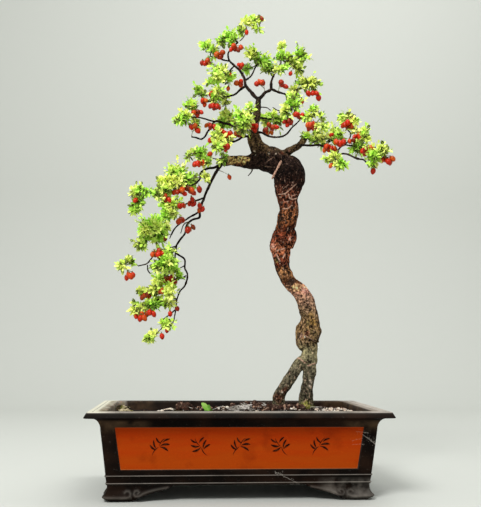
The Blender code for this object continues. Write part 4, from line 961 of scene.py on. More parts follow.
def clay_look(pot):
    """Unglazed dark clay: brown patches, pale dust on the lip and on worn edges, fine grain.

    On the lip's top the dust is also painted sheen, the pale wear on the feet's ridges and toes is also
    painted highlight, and the lip's groove and back are painted shade.
    """
    look = Look("dark_clay", pot.clay, Specular_IOR_Level=0.04)
    place = look.place
    x, y, z = place.parts()
    wear, dust_and_sheen, _ = look.layer("finish")
    look.stain(pot.clay_warm, 24.0, 0.42, 0.66)
    # The pale film: dust, and on the lip's top painted sheen as well
    film = dust_and_sheen * place.noise(60.0, 5.0).between(0.25, 0.55, 0.55, 1.0)
    drawn = place.vector("MULTIPLY", (0.3, 0.3, 1.0))
    # Pale rubbing on worn edges; on the feet's ridges and toes it is also painted highlight
    rubbed_and_highlit = wear.between(0.05, 1.0, 0.0, 0.10) * drawn.patches(80.0, 0.3, 0.6)
    specks = place.patches(420.0, 0.66, 0.72) * 0.05
    look.lay(film.at_least(rubbed_and_highlit).at_least(specks).at_least(scratches(place) * 0.45), pot.dust_and_sheen)
    # The lip's left end is laid paler still: dust and painted sheen
    look.lay(x.between(-0.165, -0.182) * dust_and_sheen.between(0.5, 0.9, 0.0, 0.8), (0.64, 0.63, 0.50))
    # Green film and straw-coloured crusts on the lip's left end
    corner = x.between(-0.158, -0.166) * z.between(0.096, 0.100) * x.between(-0.188, -0.182)
    corner = corner * abs(y).between(0.102, 0.096)
    look.lay(place.patches(110.0, 0.48, 0.62) * corner * 0.8, (0.152, 0.129, 0.042))
    look.lay(place.patches(140.0, 0.58, 0.66, 1.0) * corner * 0.6, (0.426, 0.258, 0.182))
    # Painted shade: where wear is below zero, in the lip's groove, the dark clay is laid back over the film
    look.lay(wear.between(-0.6, 0.0, 0.7, 0.0), pot.clay)
    # Brown earth on the inner wall near its corners, and a little dust on the right feet
    ends = x.between(-0.112, -0.135).at_least(x.between(0.130, 0.150))
    inside = abs(y).between(0.106, 0.103) * z.between(0.085, 0.095) * abs(x).between(0.186, 0.182)
    look.lay(ends * inside * place.patches(60.0, 0.30, 0.60) * 0.7, (0.085, 0.050, 0.027))
    right_foot = z.between(0.030, 0.024) * x.between(0.10, 0.12)
    look.lay(right_foot * place.patches(50.0, 0.35, 0.62) * 0.18, pot.dust_and_sheen)
    height = place.noise(600.0) + place.noise(70.0) * 1.5
    return look.done(height, 0.00025, place.noise(45.0).between(0.3, 0.7, 0.55, 0.75))


def slip_look(pot):
    """Burnt-orange slip: redder above, lighter at its foot, long soft brush streaks and a pale edge."""
    look = Look("orange_slip", pot.slip, Specular_IOR_Level=0.04)
    place = look.place
    inset = look.layer("finish")[2]
    height = place.parts()[2]
    streaks = place.vector("MULTIPLY", (12.0, 12.0, 90.0)).noise(1.0, 4.0)
    rise = height.between(0.042, 0.094) + streaks.between(0.3, 0.7, -0.45, 0.45)
    look.lay(rise.between(0.1, 1.0), pot.slip_deep)
    look.stain(dimmed(pot.slip_deep, 0.5), 26.0, 0.56, 0.7, 0.5, 4.0)
    look.stain(dimmed(pot.slip, 1.5), 500.0, 0.62, 0.70, 0.3)
    look.lay(inset.between(0.5, 1.6, 0.6, 0.0) * height.between(0.042, 0.046, 1.0, 0.3), (0.47, 0.17, 0.053))
    look.lay(scratches(place) * 0.5, (0.42, 0.21, 0.12))
    relief = place.noise(160.0) + streaks * 2.0
    return look.done(relief, 0.0002, streaks.between(0.35, 0.65, 0.5, 0.66))


class BONSAI_OT_pot(Operator):
    """Make the pot's body with its two drain holes and set it on four scroll feet"""

    bl_idname = "bonsai.pot"
    bl_label = "Pot"

    def execute(self, context):
        """Make the pot and its feet."""
        pot = settings("pot")
        clay = clay_look(pot)
        put_piece("pot_body", make_pot_mesh(pot), (clay, slip_look(pot)), ("pot",))
        for sign_x, side in ((-1, "left"), (1, "right")):
            for sign_y, face in ((-1, "front"), (1, "back")):
                name = f"foot_{face}_{side}"
                points, faces, worn = make_foot(sign_x, sign_y, pot.depth_less / MM)
                # The worn layer gives the feet pale wear and dust, with painted highlights on their ridges
                # and toes
                layers = {"finish": np.stack((worn, worn * 0.13, 0 * worn + NO_PANEL), -1)}
                put_piece(name, make_mesh(name, points, faces, layers, 50), (clay,))
        return {"FINISHED"}


# Painted sprigs: their middles along the panel, and leaves as (start x, start z, end x, end z, width)
SPRIG_MIDDLES = (-104.0, -52.0, 0.0, 52.0, 104.0)
SPRIG_MIDDLE_HEIGHT = 68.0
SPRIG_STROKES = ((-10, -11, -1, 1, 1.3), (-1, 1, 7, 12, 1.1), (-4, -3, -13, 4, 2.9),
                 (-3.5, -2.5, -8, 10, 2.7), (-1, 1, 11, -5, 3.0), (0, 2, 13, 3.5, 3.1), (2, 5, -5, 13, 2.6),
                 (3, 6, 13, 11, 2.5))


class BONSAI_OT_sprigs(Operator):
    """Paint five small sprigs of narrow leaves on the front panel"""

    bl_idname = "bonsai.sprigs"
    bl_label = "Painted sprigs"

    def execute(self, context):
        """Lay each stroke on the panel: a bar, flat and wide, that is widest past its middle."""
        pot = settings("pot")
        strokes = np.array(SPRIG_STROKES, dtype=float)
        strokes = np.concatenate([strokes * ((-1.0) ** index, 1, (-1.0) ** index, 1, 1)
                                  + (middle, 0, middle, 0, 0) for index, middle in enumerate(SPRIG_MIDDLES)])
        start, end, width = strokes[:, None, :2], strokes[:, None, 2:4], strokes[:, 4:]
        share = np.linspace(0, 1, 9)[:, None]
        bow = (end - start)[..., ::-1] * (-0.12, 0.12)
        line = start + (end - start) * share + bow * 4 * share * (1 - share)
        height = line[..., 1] + SPRIG_MIDDLE_HEIGHT
        face = (pot.depth_less + pot.panel_depth) / MM - wall_half(height)
        wide = width * np.sin(math.pi * share[1:-1, 0] ** 1.3) ** 0.8 / 2
        angles = ring_angles(6)
        reach = np.abs(np.cos(angles)) * 0.12 + np.abs(np.sin(angles)) * wide[..., None]
        hints = np.broadcast_to((0.0, -1.0, -0.125), (len(line), 3))
        mesh = make_mesh("panel_sprigs", *bars(np.stack((line[..., 0], face, height), -1), reach, 6, hints))
        look = Look("dark_ink", pot.ink, 0.8, Specular_IOR_Level=0.03)
        look.stain((0.09, 0.019, 0.006), 300.0, 0.45, 0.7)
        put_piece("panel_sprigs", mesh, (look.done(look.place.noise(500.0), 0.0001),))
        return {"FINISHED"}


class BONSAI_OT_screens(Operator):
    """Give the two drain screens their look of black moulded mesh"""

    bl_idname = "bonsai.screens"
    bl_label = "Drain screens"

    def execute(self, context):
        """Repaint both screens with fine ribs and dust."""
        look = Look("screen_mesh", (0.009, 0.009, 0.009), 0.55)
        look.stain((0.076, 0.057, 0.042), 260.0, 0.52, 0.7, 0.5)
        ribs = look.place.through("TexWave", {"Vector": look.place, "Scale": 260.0}, 1)
        screen_look = look.done(ribs, 0.0001)
        for name in ("drain_screen_left", "drain_screen_right"):
            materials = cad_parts[name].data.materials
            materials.clear()
            materials.append(screen_look)
        return {"FINISHED"}








# Soil and what lies on it, in mm

SOIL_EDGE = 101.5
SOIL_MOUND = 13.0
SOIL_FLOOR = 31.8
WALL_GAP = 0.3
SOIL_REACH = (162.0, 82.0)
SOIL_GRID = (168, 88)
MOUND_X = 40.0

# Stones, pale grit, straw, moss and clods: middle x, y and reach of each zone, and how many
STONES = ((-98, -34, 11, 22), (-106, -56, 16, 8), (-22, -36, 8, 12), (-26, 6, 14, 10), (78, -44, 9, 8),
          (114, -48, 10, 12), (132, -46, 16, 44), (148, -40, 12, 26), (110, 6, 14, 12), (146, 8, 16, 12),
          (60, -64, 40, 12), (20, -60, 30, 8), (-60, 50, 16, 14), (40, 60, 40, 14))
GRIT = ((24, -20, 26, 90), (8, 10, 24, 50), (40, -50, 30, 40), (60, 20, 30, 30), (130, -40, 30, 50),
        (-90, -40, 34, 30), (-30, -60, 16, 30), (100, 40, 40, 40))
STRAWS = ((4, -40, 15, 60), (22, -28, 20, 34), (40, 20, 28, 16), (-60, -20, 60, 8), (130, -30, 34, 6))
MOSSES = ((-163, 30, 9, 26), (-160, 62, 10, 30), (-158, -10, 9, 12), (100, -14, 12, 14), (-140, 20, 14, 4),
          (150, -60, 9, 4))
CLODS = ((-72, -26, 13, 34), (-40, -16, 20, 12), (124, 20, 22, 24), (74, -16, 24, 34), (40, -34, 20, 60),
         (150, 30, 14, 8), (8, -10, 20, 10))
# Small heaps that raise the soil: middle x and y, reach and height
HEAPS = ((-98, -34, 13, 5.0), (-73, -26, 13, 9.0), (-22, -34, 10, 4.5), (24, -24, 24, 5.0),
         (132, -34, 24, 4.5), (140, 30, 24, 3.0), (-166, 44, 17, 11.0), (82, -30, 10, 3.0))


def soil_level(x, y):
    """Height of the soil: a low mound at the tree that falls to the edge, with lumps of four sizes.

    Each small heap adds height * exp(-(distance / reach)^2).
    """
    way_out = np.hypot((x - MOUND_X) / 185.0, y / 130.0)
    mound = np.maximum(0.0, 1.0 - way_out) ** 0.7 * (1 - 0.6 * ease((y + 14) / 34))
    bumps = rough(np.stack((x, y, np.zeros_like(x)), axis=-1) / 19.0, 4, 40)
    heaps = sum(high * hill(np.hypot(x - at_x, y - at_y) / reach) for at_x, at_y, reach, high in HEAPS)
    return SOIL_EDGE + SOIL_MOUND * mound + heaps + bumps * settings("soil").relief / MM * 0.7


def make_soil_mesh():
    """The soil: a grid of heights, with its rim carried down the pot's walls to a flat floor."""
    columns, rows = SOIL_GRID
    less = round(settings("pot").depth_less / MM, 3)
    half, low_half = inner_half(SOIL_EDGE) - WALL_GAP, inner_half(SOIL_FLOOR) - WALL_GAP
    x, y = np.meshgrid(np.linspace(-half, half, columns), np.linspace(less - half, half - less, rows))
    top = np.stack((x, y, soil_level(x, y)), -1).reshape(-1, 3)
    size = len(top)
    index = np.arange(size).reshape(rows, columns)
    rim = np.concatenate((index[0], index[1:, -1], index[-1, -2::-1], index[-2:0:-1, 0]))
    low = top[rim] * (low_half / half, (low_half - less) / (half - less), 0) + (0, 0, SOIL_FLOOR)
    order = np.arange(len(rim))
    after = np.roll(order, -1)
    sides = np.stack((rim, size + order, size + after, rim[after]), -1)
    faces = [grid_faces(rows, columns), sides, (size + order[::-1])[None]]
    return make_mesh("soil_surface", np.concatenate((top, low)), faces, None, 60)


def lumps(middles, sizes, rows, columns, depth, seed):
    """Closed lumps: spheres stretched along three axes, turned about Z and pushed in and out by noise.

    Ring point = middle + turn(size * (cos up cos a, cos up sin a, sin up)) * (1 + depth * noise).
    """
    random = np.random.default_rng(seed)
    count = len(middles)
    up = np.radians(np.linspace(-90, 90, rows + 2))[:, None]
    around = ring_angles(columns)
    ball = np.stack((np.cos(up) * np.cos(around), np.cos(up) * np.sin(around), np.sin(up) + 0 * around), -1)
    spots = random.uniform(-90, 90, (count, 1, 1, 3))
    shape = ball * (1 + depth * ripple(ball * 1.4 + spots, seed))[..., None] * sizes[:, None, None, :]
    turn = random.uniform(0, 2 * math.pi, count)[:, None, None]
    x = shape[..., 0] * np.cos(turn) - shape[..., 1] * np.sin(turn)
    y = shape[..., 0] * np.sin(turn) + shape[..., 1] * np.cos(turn)
    placed = np.stack((x, y, shape[..., 2]), -1) + middles[:, None, None, :]
    rings, poles = placed[:, 1:-1].reshape(count, -1, 3), placed[:, (0, -1)].mean(axis=2)
    return np.concatenate((rings, poles), axis=1).reshape(-1, 3), bar_faces(count, rows, columns)


def scatter(zones, seed):
    """Places on the soil: for each zone its count, thrown round its middle within its reach."""
    random = np.random.default_rng(seed)
    places = []
    for x, y, reach, count in zones:
        angle = random.uniform(0, 2 * math.pi, count)
        distance = reach * np.sqrt(random.uniform(0, 1, count))
        places.append(np.stack((x + distance * np.cos(angle), y + distance * np.sin(angle)), -1))
    return np.clip(np.concatenate(places), np.negative(SOIL_REACH), SOIL_REACH), random


def strew(name, places, random, size, stretch, sunk, shape, look, sharp_angle=60, lift=0.0):
    """Strew lumps of a size at the places, each stretched by chance and raised by a share of its height."""
    sizes = size[:, None] * random.uniform(*stretch, (len(places), 3))
    middles = np.column_stack((places, soil_level(*places.T) + sizes[:, 2] * sunk + lift))
    put_piece(name, make_mesh(name, *lumps(middles, sizes, *shape), None, sharp_angle), (look,))


def soil_look(soil):
    """Damp crumbly soil with drier lumps, fine pale grit and a green film here and there."""
    look = Look("damp_soil", soil.earth, 0.95, Specular_IOR_Level=0.06)
    look.stain(soil.earth_dry, 90.0, 0.42, 0.66, 1.0, 5.0)
    look.stain((0.16, 0.13, 0.10), 900.0, 0.68, 0.72, 0.6, 2.0)
    look.stain(soil.moss, 22.0, 0.58, 0.70, 0.25)
    return look.done(look.place.noise(900.0) + look.place.noise(220.0) * 2.0, 0.0008)


def stone_look(name, colours, scale):
    """Grit or stones whose colour changes from one to the next with place, with fine specks."""
    look = Look(name, colours[0], 0.8, Specular_IOR_Level=0.12)
    stops = [(index / (len(colours) - 1), tuple(each)) for index, each in enumerate(colours)]
    look.ramp(look.place.noise(scale, 1.0).between(0.3, 0.7), stops)
    look.stain((0.10, 0.07, 0.055), 1400.0, 0.6, 0.7, 0.5)
    return look.done(look.place.noise(700.0), 0.0003)


def moss_look(soil):
    """Low moss: yellow-green cushions, darker between, with a fine nap."""
    look = Look("moss", dimmed(soil.moss, 0.3), 0.95, Specular_IOR_Level=0.1)
    place = look.place
    nap = place.noise(1300.0)
    look.lay(nap.between(0.35, 0.62), soil.moss)
    look.stain((0.17, 0.10, 0.035), 70.0, 0.52, 0.68, 0.6)
    look.lay(place.patches(160.0, 0.40, 0.60) * place.parts()[0].between(-0.145, -0.152), (0.50, 0.42, 0.27))
    return look.done(nap, 0.0012)


class BONSAI_OT_soil(Operator):
    """Fill the pot with soil up to a low mound"""

    bl_idname = "bonsai.soil"
    bl_label = "Soil"

    def execute(self, context):
        """Make the soil's surface."""
        put_piece("soil_surface", make_soil_mesh(), (soil_look(settings("soil")),), ("soil",))
        return {"FINISHED"}


class BONSAI_OT_litter(Operator):
    """Strew gravel, crumbs, dry straw and moss over the soil"""

    bl_idname = "bonsai.litter"
    bl_label = "Gravel, straw and moss"

    def execute(self, context):
        """Strew stones and grit, crumbs and clods of earth, straw, and cushions of moss."""
        soil = settings("soil")
        places, random = scatter(STONES, 11)
        colours = (soil.stone, (0.76, 0.68, 0.54), (0.40, 0.27, 0.20), (0.80, 0.76, 0.66),
                   (0.16, 0.10, 0.07))
        strew("gravel", places, random, 1.55 * np.exp(random.normal(0, 0.40, len(places))),
              ((0.9, 0.7, 0.5), (1.3, 1.0, 0.8)), 0.45, (4, 7, 0.28, 12),
              stone_look("gravel", colours, 120.0), 50)
        places, random = scatter(GRIT, 15)
        colours = ((0.05, 0.040, 0.032), (0.36, 0.33, 0.29), (0.025, 0.018, 0.013), (0.66, 0.62, 0.56))
        strew("grit", places, random, 0.75 * np.exp(random.normal(0, 0.3, len(places))), (0.7, 1.2), 0.5,
              (3, 6, 0.3, 16), stone_look("grit", colours, 300.0))
        random = np.random.default_rng(21)
        places = random.uniform(np.negative(SOIL_REACH), SOIL_REACH, (soil.crumbs, 2))
        colours = (soil.earth, soil.earth_dry, (0.12, 0.075, 0.05))
        strew("crumbs", places, random, 0.8 * np.exp(random.normal(0, 0.45, len(places))), (0.7, 1.2), 0.4,
              (3, 6, 0.4, 22), stone_look("crumbs", colours, 160.0))
        places, random = scatter(CLODS, 25)
        colours = (soil.earth, (0.066, 0.028, 0.017), (0.011, 0.006, 0.004), (0.36, 0.22, 0.15))
        strew("clods", places, random, random.uniform(1.8, 4.4, len(places)), (0.7, 1.1), 0.45,
              (7, 12, 0.55, 26), stone_look("clods", colours, 200.0))
        self.strew_straw(soil)
        places, random = scatter(MOSSES, 41)
        strew("moss", places, random, random.uniform(2.2, 6.0, len(places)), ((1.0, 0.8, 0.42),) * 2, 0.0,
              (7, 18, 0.30, 42), moss_look(soil), None, 0.2)
        return {"FINISHED"}

    def strew_straw(self, soil):
        """Thin dry stalks of 8 to 26 mm, lying bent on the soil and across each other."""
        places, random = scatter(STRAWS, 31)
        count = len(places)
        length = random.uniform(8, 26, count)[:, None, None]
        share = np.linspace(-0.5, 0.5, 7)[None, :, None]
        angle = random.uniform(0, math.pi, count)
        along = np.stack((np.cos(angle), np.sin(angle), random.normal(0, 0.10, count)), -1)[:, None]
        bow = np.stack((-np.sin(angle), np.cos(angle), random.uniform(0.2, 0.8, count)), -1)[:, None]
        middles = np.column_stack((places, random.uniform(0.8, 3.0, count)))
        routes = middles[:, None] + along * length * share - bow * length * share ** 2 * 0.5
        routes[..., :2] = np.clip(routes[..., :2], np.negative(SOIL_REACH) - 3, np.add(SOIL_REACH, 3))
        routes[..., 2] += soil_level(routes[..., 0], routes[..., 1])
        shape = bars(routes, random.uniform(0.28, 0.6, count)[:, None, None], 5)
        colours = (soil.straw, (0.20, 0.17, 0.14), (0.62, 0.58, 0.53), (0.40, 0.36, 0.31))
        put_piece("straw", make_mesh("straw", *shape), (stone_look("straw", colours, 90.0),))
































































































































# Leaves, in mm

# Stations along a leaf, and its half width at each but the first and the last, as shares
LEAF_STATIONS = np.array((0.0, 0.12, 0.36, 0.64, 0.88, 1.0))
LEAF_HALF = np.array((0.36, 0.96, 0.92, 0.44))
# Painted light: how much paler the leaves of the long fall are made, as a tone, for the light that they lack
FALL_PAINTED_LIGHT = 0.08
# The reach of a middling tuft
MIDDLING_REACH = 9.5
# The seedling's place on the soil, the height of its top, and its leaves: the way that each points, its
# length and width, its tone, and the way that it faces
SEEDLING = (-39.5, -50.0)
SEEDLING_TOP = 110.5
SEEDLING_LEAVES = np.array(((-0.62, -0.20, 0.78, 18.0, 8.5, 0.85, 0.5, -0.9, 0.3),
                            (-0.05, -0.1, 0.99, 11.5, 5.0, 0.42, -0.4, -0.9, 0.35),
                            (-0.9, 0.3, 0.45, 8.0, 4.5, 0.40, 0, -0.8, 1),
                            (0.55, -0.4, 0.80, 8.5, 3.4, 0.98, 0.6, -0.8, 0.4)))


def leaves(roots, directions, normals, lengths, widths, droops, tones, thickness, fold=0.16):
    """Closed blades: a curved midrib with four-cornered rings, widest before the middle.

    Midrib point = root + length (t direction - droop t^2 up); the blade's halves rise from the midrib
    by the fold, so its upper face is a shallow valley. The layer holds across, along and tone.
    """
    share = LEAF_STATIONS[None, :, None]
    path = directions[:, None] * share - UP * (droops[:, None, None] * share ** 2)
    half = LEAF_HALF * widths[:, None] / 2
    deep = half * fold
    reach = np.stack((half, thickness / 2 - deep, half, thickness / 2 + deep), -1)
    routes = roots[:, None] + path * lengths[:, None, None]
    points, faces = bars(routes, reach, 4, np.cross(normals, directions))
    across_values = np.append(np.tile((1.0, 0.0, -1.0, 0.0), len(LEAF_HALF)), (0.0, 0.0))
    along_values = np.append(np.repeat(LEAF_STATIONS[1:-1], 4), (0.0, 1.0))
    layer_points = np.broadcast_arrays(across_values, along_values, tones[:, None])
    return points, faces, np.stack(layer_points, -1).reshape(-1, 3)


def leaf_look(name, young, ripe, old, fresh):
    """A leaf: colour by its tone, greener in places, a paler midrib with side veins, and a soft gloss."""
    look = Look(name, ripe, 0.42, Specular_IOR_Level=0.14)
    place = look.place
    side, along, tone = look.layer("blade")
    young, ripe, old = tuple(young), tuple(ripe), tuple(old)
    shifted = tone + place.noise(38.0).between(0.3, 0.7, -0.14, 0.14)
    look.ramp(shifted, [(0.0, old), (0.27, old), (0.44, ripe), (0.70, young), (1.0, young)])
    look.lay(place.patches(34.0, 0.44, 0.58, 2.0) * tone.between(0.25, 0.45, 0.0, 0.85), fresh)
    gap = abs(side)
    veins = ((along - gap * 0.16) * 70.0).math("SINE").between(0.75, 1.0, 0.0, 0.16)
    pale = gap.between(0.05, 0.22, 0.42, 0.0).at_least(veins)
    look.lay(pale, tuple(min(0.97, value + 0.03) for value in young))
    look.stain(dimmed(ripe, 0.6), 260.0, 0.45, 0.7, 0.22)
    return look.done(place.noise(420.0) * 0.5 - pale, 0.0002)


def stem_look():
    """Young stems: green-brown, browner in patches, with fine lines."""
    look = Look("young_stem", (0.057, 0.065, 0.021))
    look.stain((0.076, 0.038, 0.02), 60.0, 0.4, 0.62)
    fine = look.place.noise(800.0)
    look.lay(fine.between(0.5, 0.7, 0.0, 0.4), (0.152, 0.114, 0.065))
    return look.done(fine, 0.0002)


def directions_about(headings, tilts, turns):
    """Directions tilted from their headings by one angle and turned about them by another."""
    side, other = across(headings, np.broadcast_to((0.31, 0.17, 0.93), headings.shape))
    flat = side * np.cos(turns)[..., None] + other * np.sin(turns)[..., None]
    return headings * np.cos(tilts)[..., None] + flat * np.sin(tilts)[..., None]


def twig_ways(name):
    """Ways from the twig's end to each of a spray's tufts, each from the nearest place already reached."""
    twig, tufts = TUFTS[name]
    reached = [np.array(BRANCHES[twig][-1][:3], dtype=float)]
    ways = []
    for tuft in tufts:
        place = np.array(tuft[:3], dtype=float)
        nearest = min(reached, key=lambda other: np.linalg.norm(other - place))
        ways.append((nearest, place))
        reached += [place, (nearest + place) / 2]
    return np.array(ways)


def grow_spray(name, seed, leaf):
    """One spray: ways to its tufts, short shoots out of each tuft, and leaves spaced round each shoot.

    Shoot point = root + length (t out + t^2 lift up). A noise of the shoot's way out makes tufts uneven.
    """
    random = np.random.default_rng(seed)
    start, end = np.moveaxis(twig_ways(name), 1, 0)
    heading = unit(end - start)
    span = np.linalg.norm(end - start, axis=1)[:, None, None]
    share = np.linspace(0, 1, 8)[None, :, None]
    bow = unit(np.cross(heading, random.normal(0, 1, heading.shape)) + 0.4 * UP)[:, None]
    routes = start[:, None] + (end - start)[:, None] * share + bow * span * 0.14 * share * (1 - share) * 4
    routes[:, 1:-1] += random.normal(0, 0.35, routes[:, 1:-1].shape)
    stems = [bars(routes, np.linspace(0.95, 0.6, 6)[None, :, None], 6)]

    reach = np.array([tuft[3] for tuft in TUFTS[name][1]], dtype=float) * leaf.spread
    counts = np.maximum(2, np.round(leaf.shoots * (reach / MIDDLING_REACH) ** 1.5)).astype(int)
    which = np.repeat(np.arange(len(reach)), counts)
    count, per = len(which), leaf.per_shoot
    out = unit(random.normal(0, 1, (count, 3)) * (1, 1, 0.8) + heading[which] * 0.55 + UP * 0.35)
    root = end[which] - heading[which] * (reach[which] * random.uniform(0.0, 0.5, count))[:, None]
    lobes = 1 + 0.55 * ripple(out * 1.5 + end[which] / 9.0, seed)
    length = reach[which] * random.uniform(0.34, 1.16, count) * np.clip(lobes, 0.4, 1.45)
    lift = random.uniform(-0.15, 0.35, count)

    def shoot_points(steps):
        """Places along every shoot."""
        steps = steps[None, :, None]
        ways = out[:, None] * steps + UP * lift[:, None, None] * steps ** 2
        return root[:, None] + ways * length[:, None, None]

    stems.append(bars(shoot_points(np.linspace(0, 1, 4)), np.linspace(0.42, 0.25, 2)[None, :, None], 4))
    along = (np.arange(per) + 0.7) / per
    turns = random.uniform(0, 2 * math.pi, (count, 1)) + np.arange(per) * GOLDEN_ANGLE
    tilts = np.radians(random.uniform(28, 72, (count, per)))
    tilts[:, -1] = np.radians(random.uniform(0, 18, count))
    headings = np.broadcast_to(unit(out + UP * lift[:, None] * 1.2)[:, None], (count, per, 3))
    directions = unit(directions_about(headings, tilts, turns) + UP * 0.16)
    size = (random.uniform(0.72, 1.18, (count, per)) * (0.8 + 0.3 * np.sin(math.pi * along))).ravel()
    tones = 0.58 + random.normal(0, 0.42, (count, per)) + 0.60 * (along - 0.42) + 0.18 * out[:, 2:]
    # The long fall's leaves are made paler: painted light
    tones += random.normal(0, 0.08, len(reach))[which][:, None] + FALL_PAINTED_LIGHT * name.startswith("fall")
    normals = unit(random.normal(0, 0.5, (count, per, 3)) + (-0.12, -0.50, 0.60))
    roots, directions, normals = (rows.reshape(-1, 3) for rows in (shoot_points(along), directions, normals))
    *blades, values = leaves(roots, directions, normals, size * leaf.length / MM, size * leaf.width / MM,
                             random.uniform(0.0, 0.34, count * per), np.clip(tones, 0.02, 0.98).ravel(),
                             leaf.thickness / MM)
    return make_stemmed_mesh("foliage_" + name, blades, "blade", values, stems, 48)


class BONSAI_OT_foliage(Operator):
    """Grow the leafy sprays from the ends of the twigs"""

    bl_idname = "bonsai.foliage"
    bl_label = "Foliage"

    def execute(self, context):
        """Grow each spray in place of its simple solid."""
        leaf = settings("leaf")
        looks = (leaf_look("leaf", leaf.young, leaf.ripe, leaf.old, leaf.fresh), stem_look())
        for seed, name in enumerate(sorted(TUFTS), 500):
            put_piece("foliage_" + name, grow_spray(name, seed, leaf), looks, ("spray_" + name,))
        return {"FINISHED"}


class BONSAI_OT_seedling(Operator):
    """Stand a broad-leaved seedling in the soil"""

    bl_idname = "bonsai.seedling"
    bl_label = "Seedling"

    def execute(self, context):
        """Make its stem and its broad leaves."""
        x, y = SEEDLING
        foot, top = soil_level(np.array(x), np.array(y)) - 2, SEEDLING_TOP
        heights = np.array((foot, foot, foot + 4, (foot + top) / 2, top, top + 1))
        route = np.stack((x + 0.4 * np.sin(heights), y + 0.3 * np.cos(heights), heights), -1)[None]
        stem = bars(route, np.array((1.1, 1.0, 0.9, 0.8))[None, :, None], 8)
        directions, sizes, normals = np.split(SEEDLING_LEAVES, (3, 6), axis=1)
        lengths, widths, tones = sizes.T
        count = len(directions)
        roots = np.broadcast_to((x, y, top), (count, 3)) - (0, 0, 1) * np.arange(count)[:, None] * 0.8
        *blades, values = leaves(roots, unit(directions), unit(normals), lengths, widths,
                                 np.full(count, 0.14), tones, 0.6, 0.12)
        mesh = make_stemmed_mesh("seedling_leaves", blades, "blade", values, [stem], 48)
        look = leaf_look("seedling_leaf", (0.40, 0.66, 0.14), (0.13, 0.34, 0.045), (0.035, 0.11, 0.015),
                         (0.20, 0.50, 0.04))
        put_piece("seedling_leaves", mesh, (look, stem_look()), ("seedling",))
        return {"FINISHED"}


# Berries, in mm

BERRY_ROWS = np.linspace(0, 1, 8)
BERRY_SIDES = 9


def wood_points():
    """Points along every branch and shoot, for a bunch's spur to start from."""
    share = np.linspace(0, 1, 6)[:, None]
    points = [smooth_route(table, 4.0)[:, :3] for table in BRANCHES.values()]
    points += [start + (end - start) * share for name in TUFTS for start, end in twig_ways(name)]
    return np.concatenate(points)


def hang_bunch(name, seed, berry, wood):
    """One bunch: a spur to each cluster's joint, stalks from the joint, and a berry on each stalk.

    A berry's ring half width is sin(pi t^0.92)^0.62, so it is full and ends in a small point.
    """
    random = np.random.default_rng(seed)
    length, width, stalk = berry.length / MM, berry.width / MM, berry.stalk / MM
    tops, axes, joints, spurs = [], [], [], []
    for x, y, z, count in CLUSTERS[name]:
        centre = np.array((x, y, z), dtype=float)
        nearest = wood[np.argmin(np.linalg.norm(wood - centre, axis=1))]
        joint = centre + unit(nearest - centre + (0, 0, 5)) * min(9.0, np.linalg.norm(nearest - centre))
        spurs.append((nearest, joint))
        count = round(count * berry.plenty)
        number = np.arange(count)
        angle = random.uniform(0, 2 * math.pi) + number * GOLDEN_ANGLE
        ring = 0.47 * width * (number + 0.5) ** 0.5 * (count > 1)
        offset = (np.cos(angle) * ring, np.sin(angle) * ring * 0.8, random.uniform(-3.5, 3.5, count))
        middle = centre + np.stack(offset, -1)
        axis = unit((middle - joint) * 0.08 + random.normal(0, 0.35, (count, 3)) - UP)
        tops.append(middle - axis * length / 2)
        axes.append(axis)
        joints.append(np.broadcast_to(joint, (count, 3)))
    tops, axes, joints = (np.concatenate(rows) for rows in (tops, axes, joints))
    spurs = np.array(spurs)
    count = len(tops)
    size = random.uniform(0.84, 1.1, count)[:, None, None]
    share = BERRY_ROWS[None, :, None]
    bend = unit(np.cross(axes, random.normal(0, 1, axes.shape)))[:, None] * 0.05
    routes = tops[:, None] + (axes[:, None] * share + bend * share ** 2) * size * length
    inner = BERRY_ROWS[1:-1]
    half = np.sin(math.pi * inner ** 0.92) ** 0.62 * width / 2
    lobes = 1 + 0.03 * np.cos(3 * ring_angles(BERRY_SIDES))
    plump = size * random.uniform(0.9, 1.1, count)[:, None, None]
    fruit = bars(routes, half[:, None] * plump * lobes, BERRY_SIDES)
    tone = np.clip(random.beta(1.1, 3.2, count), 0, 1)[:, None]
    # Some berries at random are dark: dry berries, and painted shade for berries that hang in shade
    dryness_and_shade = np.clip(random.normal(-0.1, 0.5, count), 0, 0.9)[:, None]
    part = np.append(np.repeat(inner, BERRY_SIDES), (0.0, 1.0))
    skin = np.stack(np.broadcast_arrays(tone, part, dryness_and_shade), -1).reshape(-1, 3)

    share = np.array((0, 0.0, 0.25, 0.5, 0.75, 1.0, 1.0))[None, :, None]
    routes = joints[:, None] + (tops + axes * 1.5 - joints)[:, None] * share + UP * share * (1 - share) * 2.0
    routes[:, -2] = tops - axes * 0.6
    stalks = bars(routes, np.array((1.0, 1.0, 0.9, 1.1, 4.6))[None, :, None] * stalk, 5)
    share = np.linspace(0, 1, 7)[None, :, None]
    routes = spurs[:, :1] + (spurs[:, 1:] - spurs[:, :1]) * share + UP * share * (1 - share) * 2.5
    stems = [stalks, bars(routes, np.linspace(0.6, 0.45, 5)[None, :, None], 6)]
    return make_stemmed_mesh("fruit_" + name, fruit, "skin", skin, stems, 60)


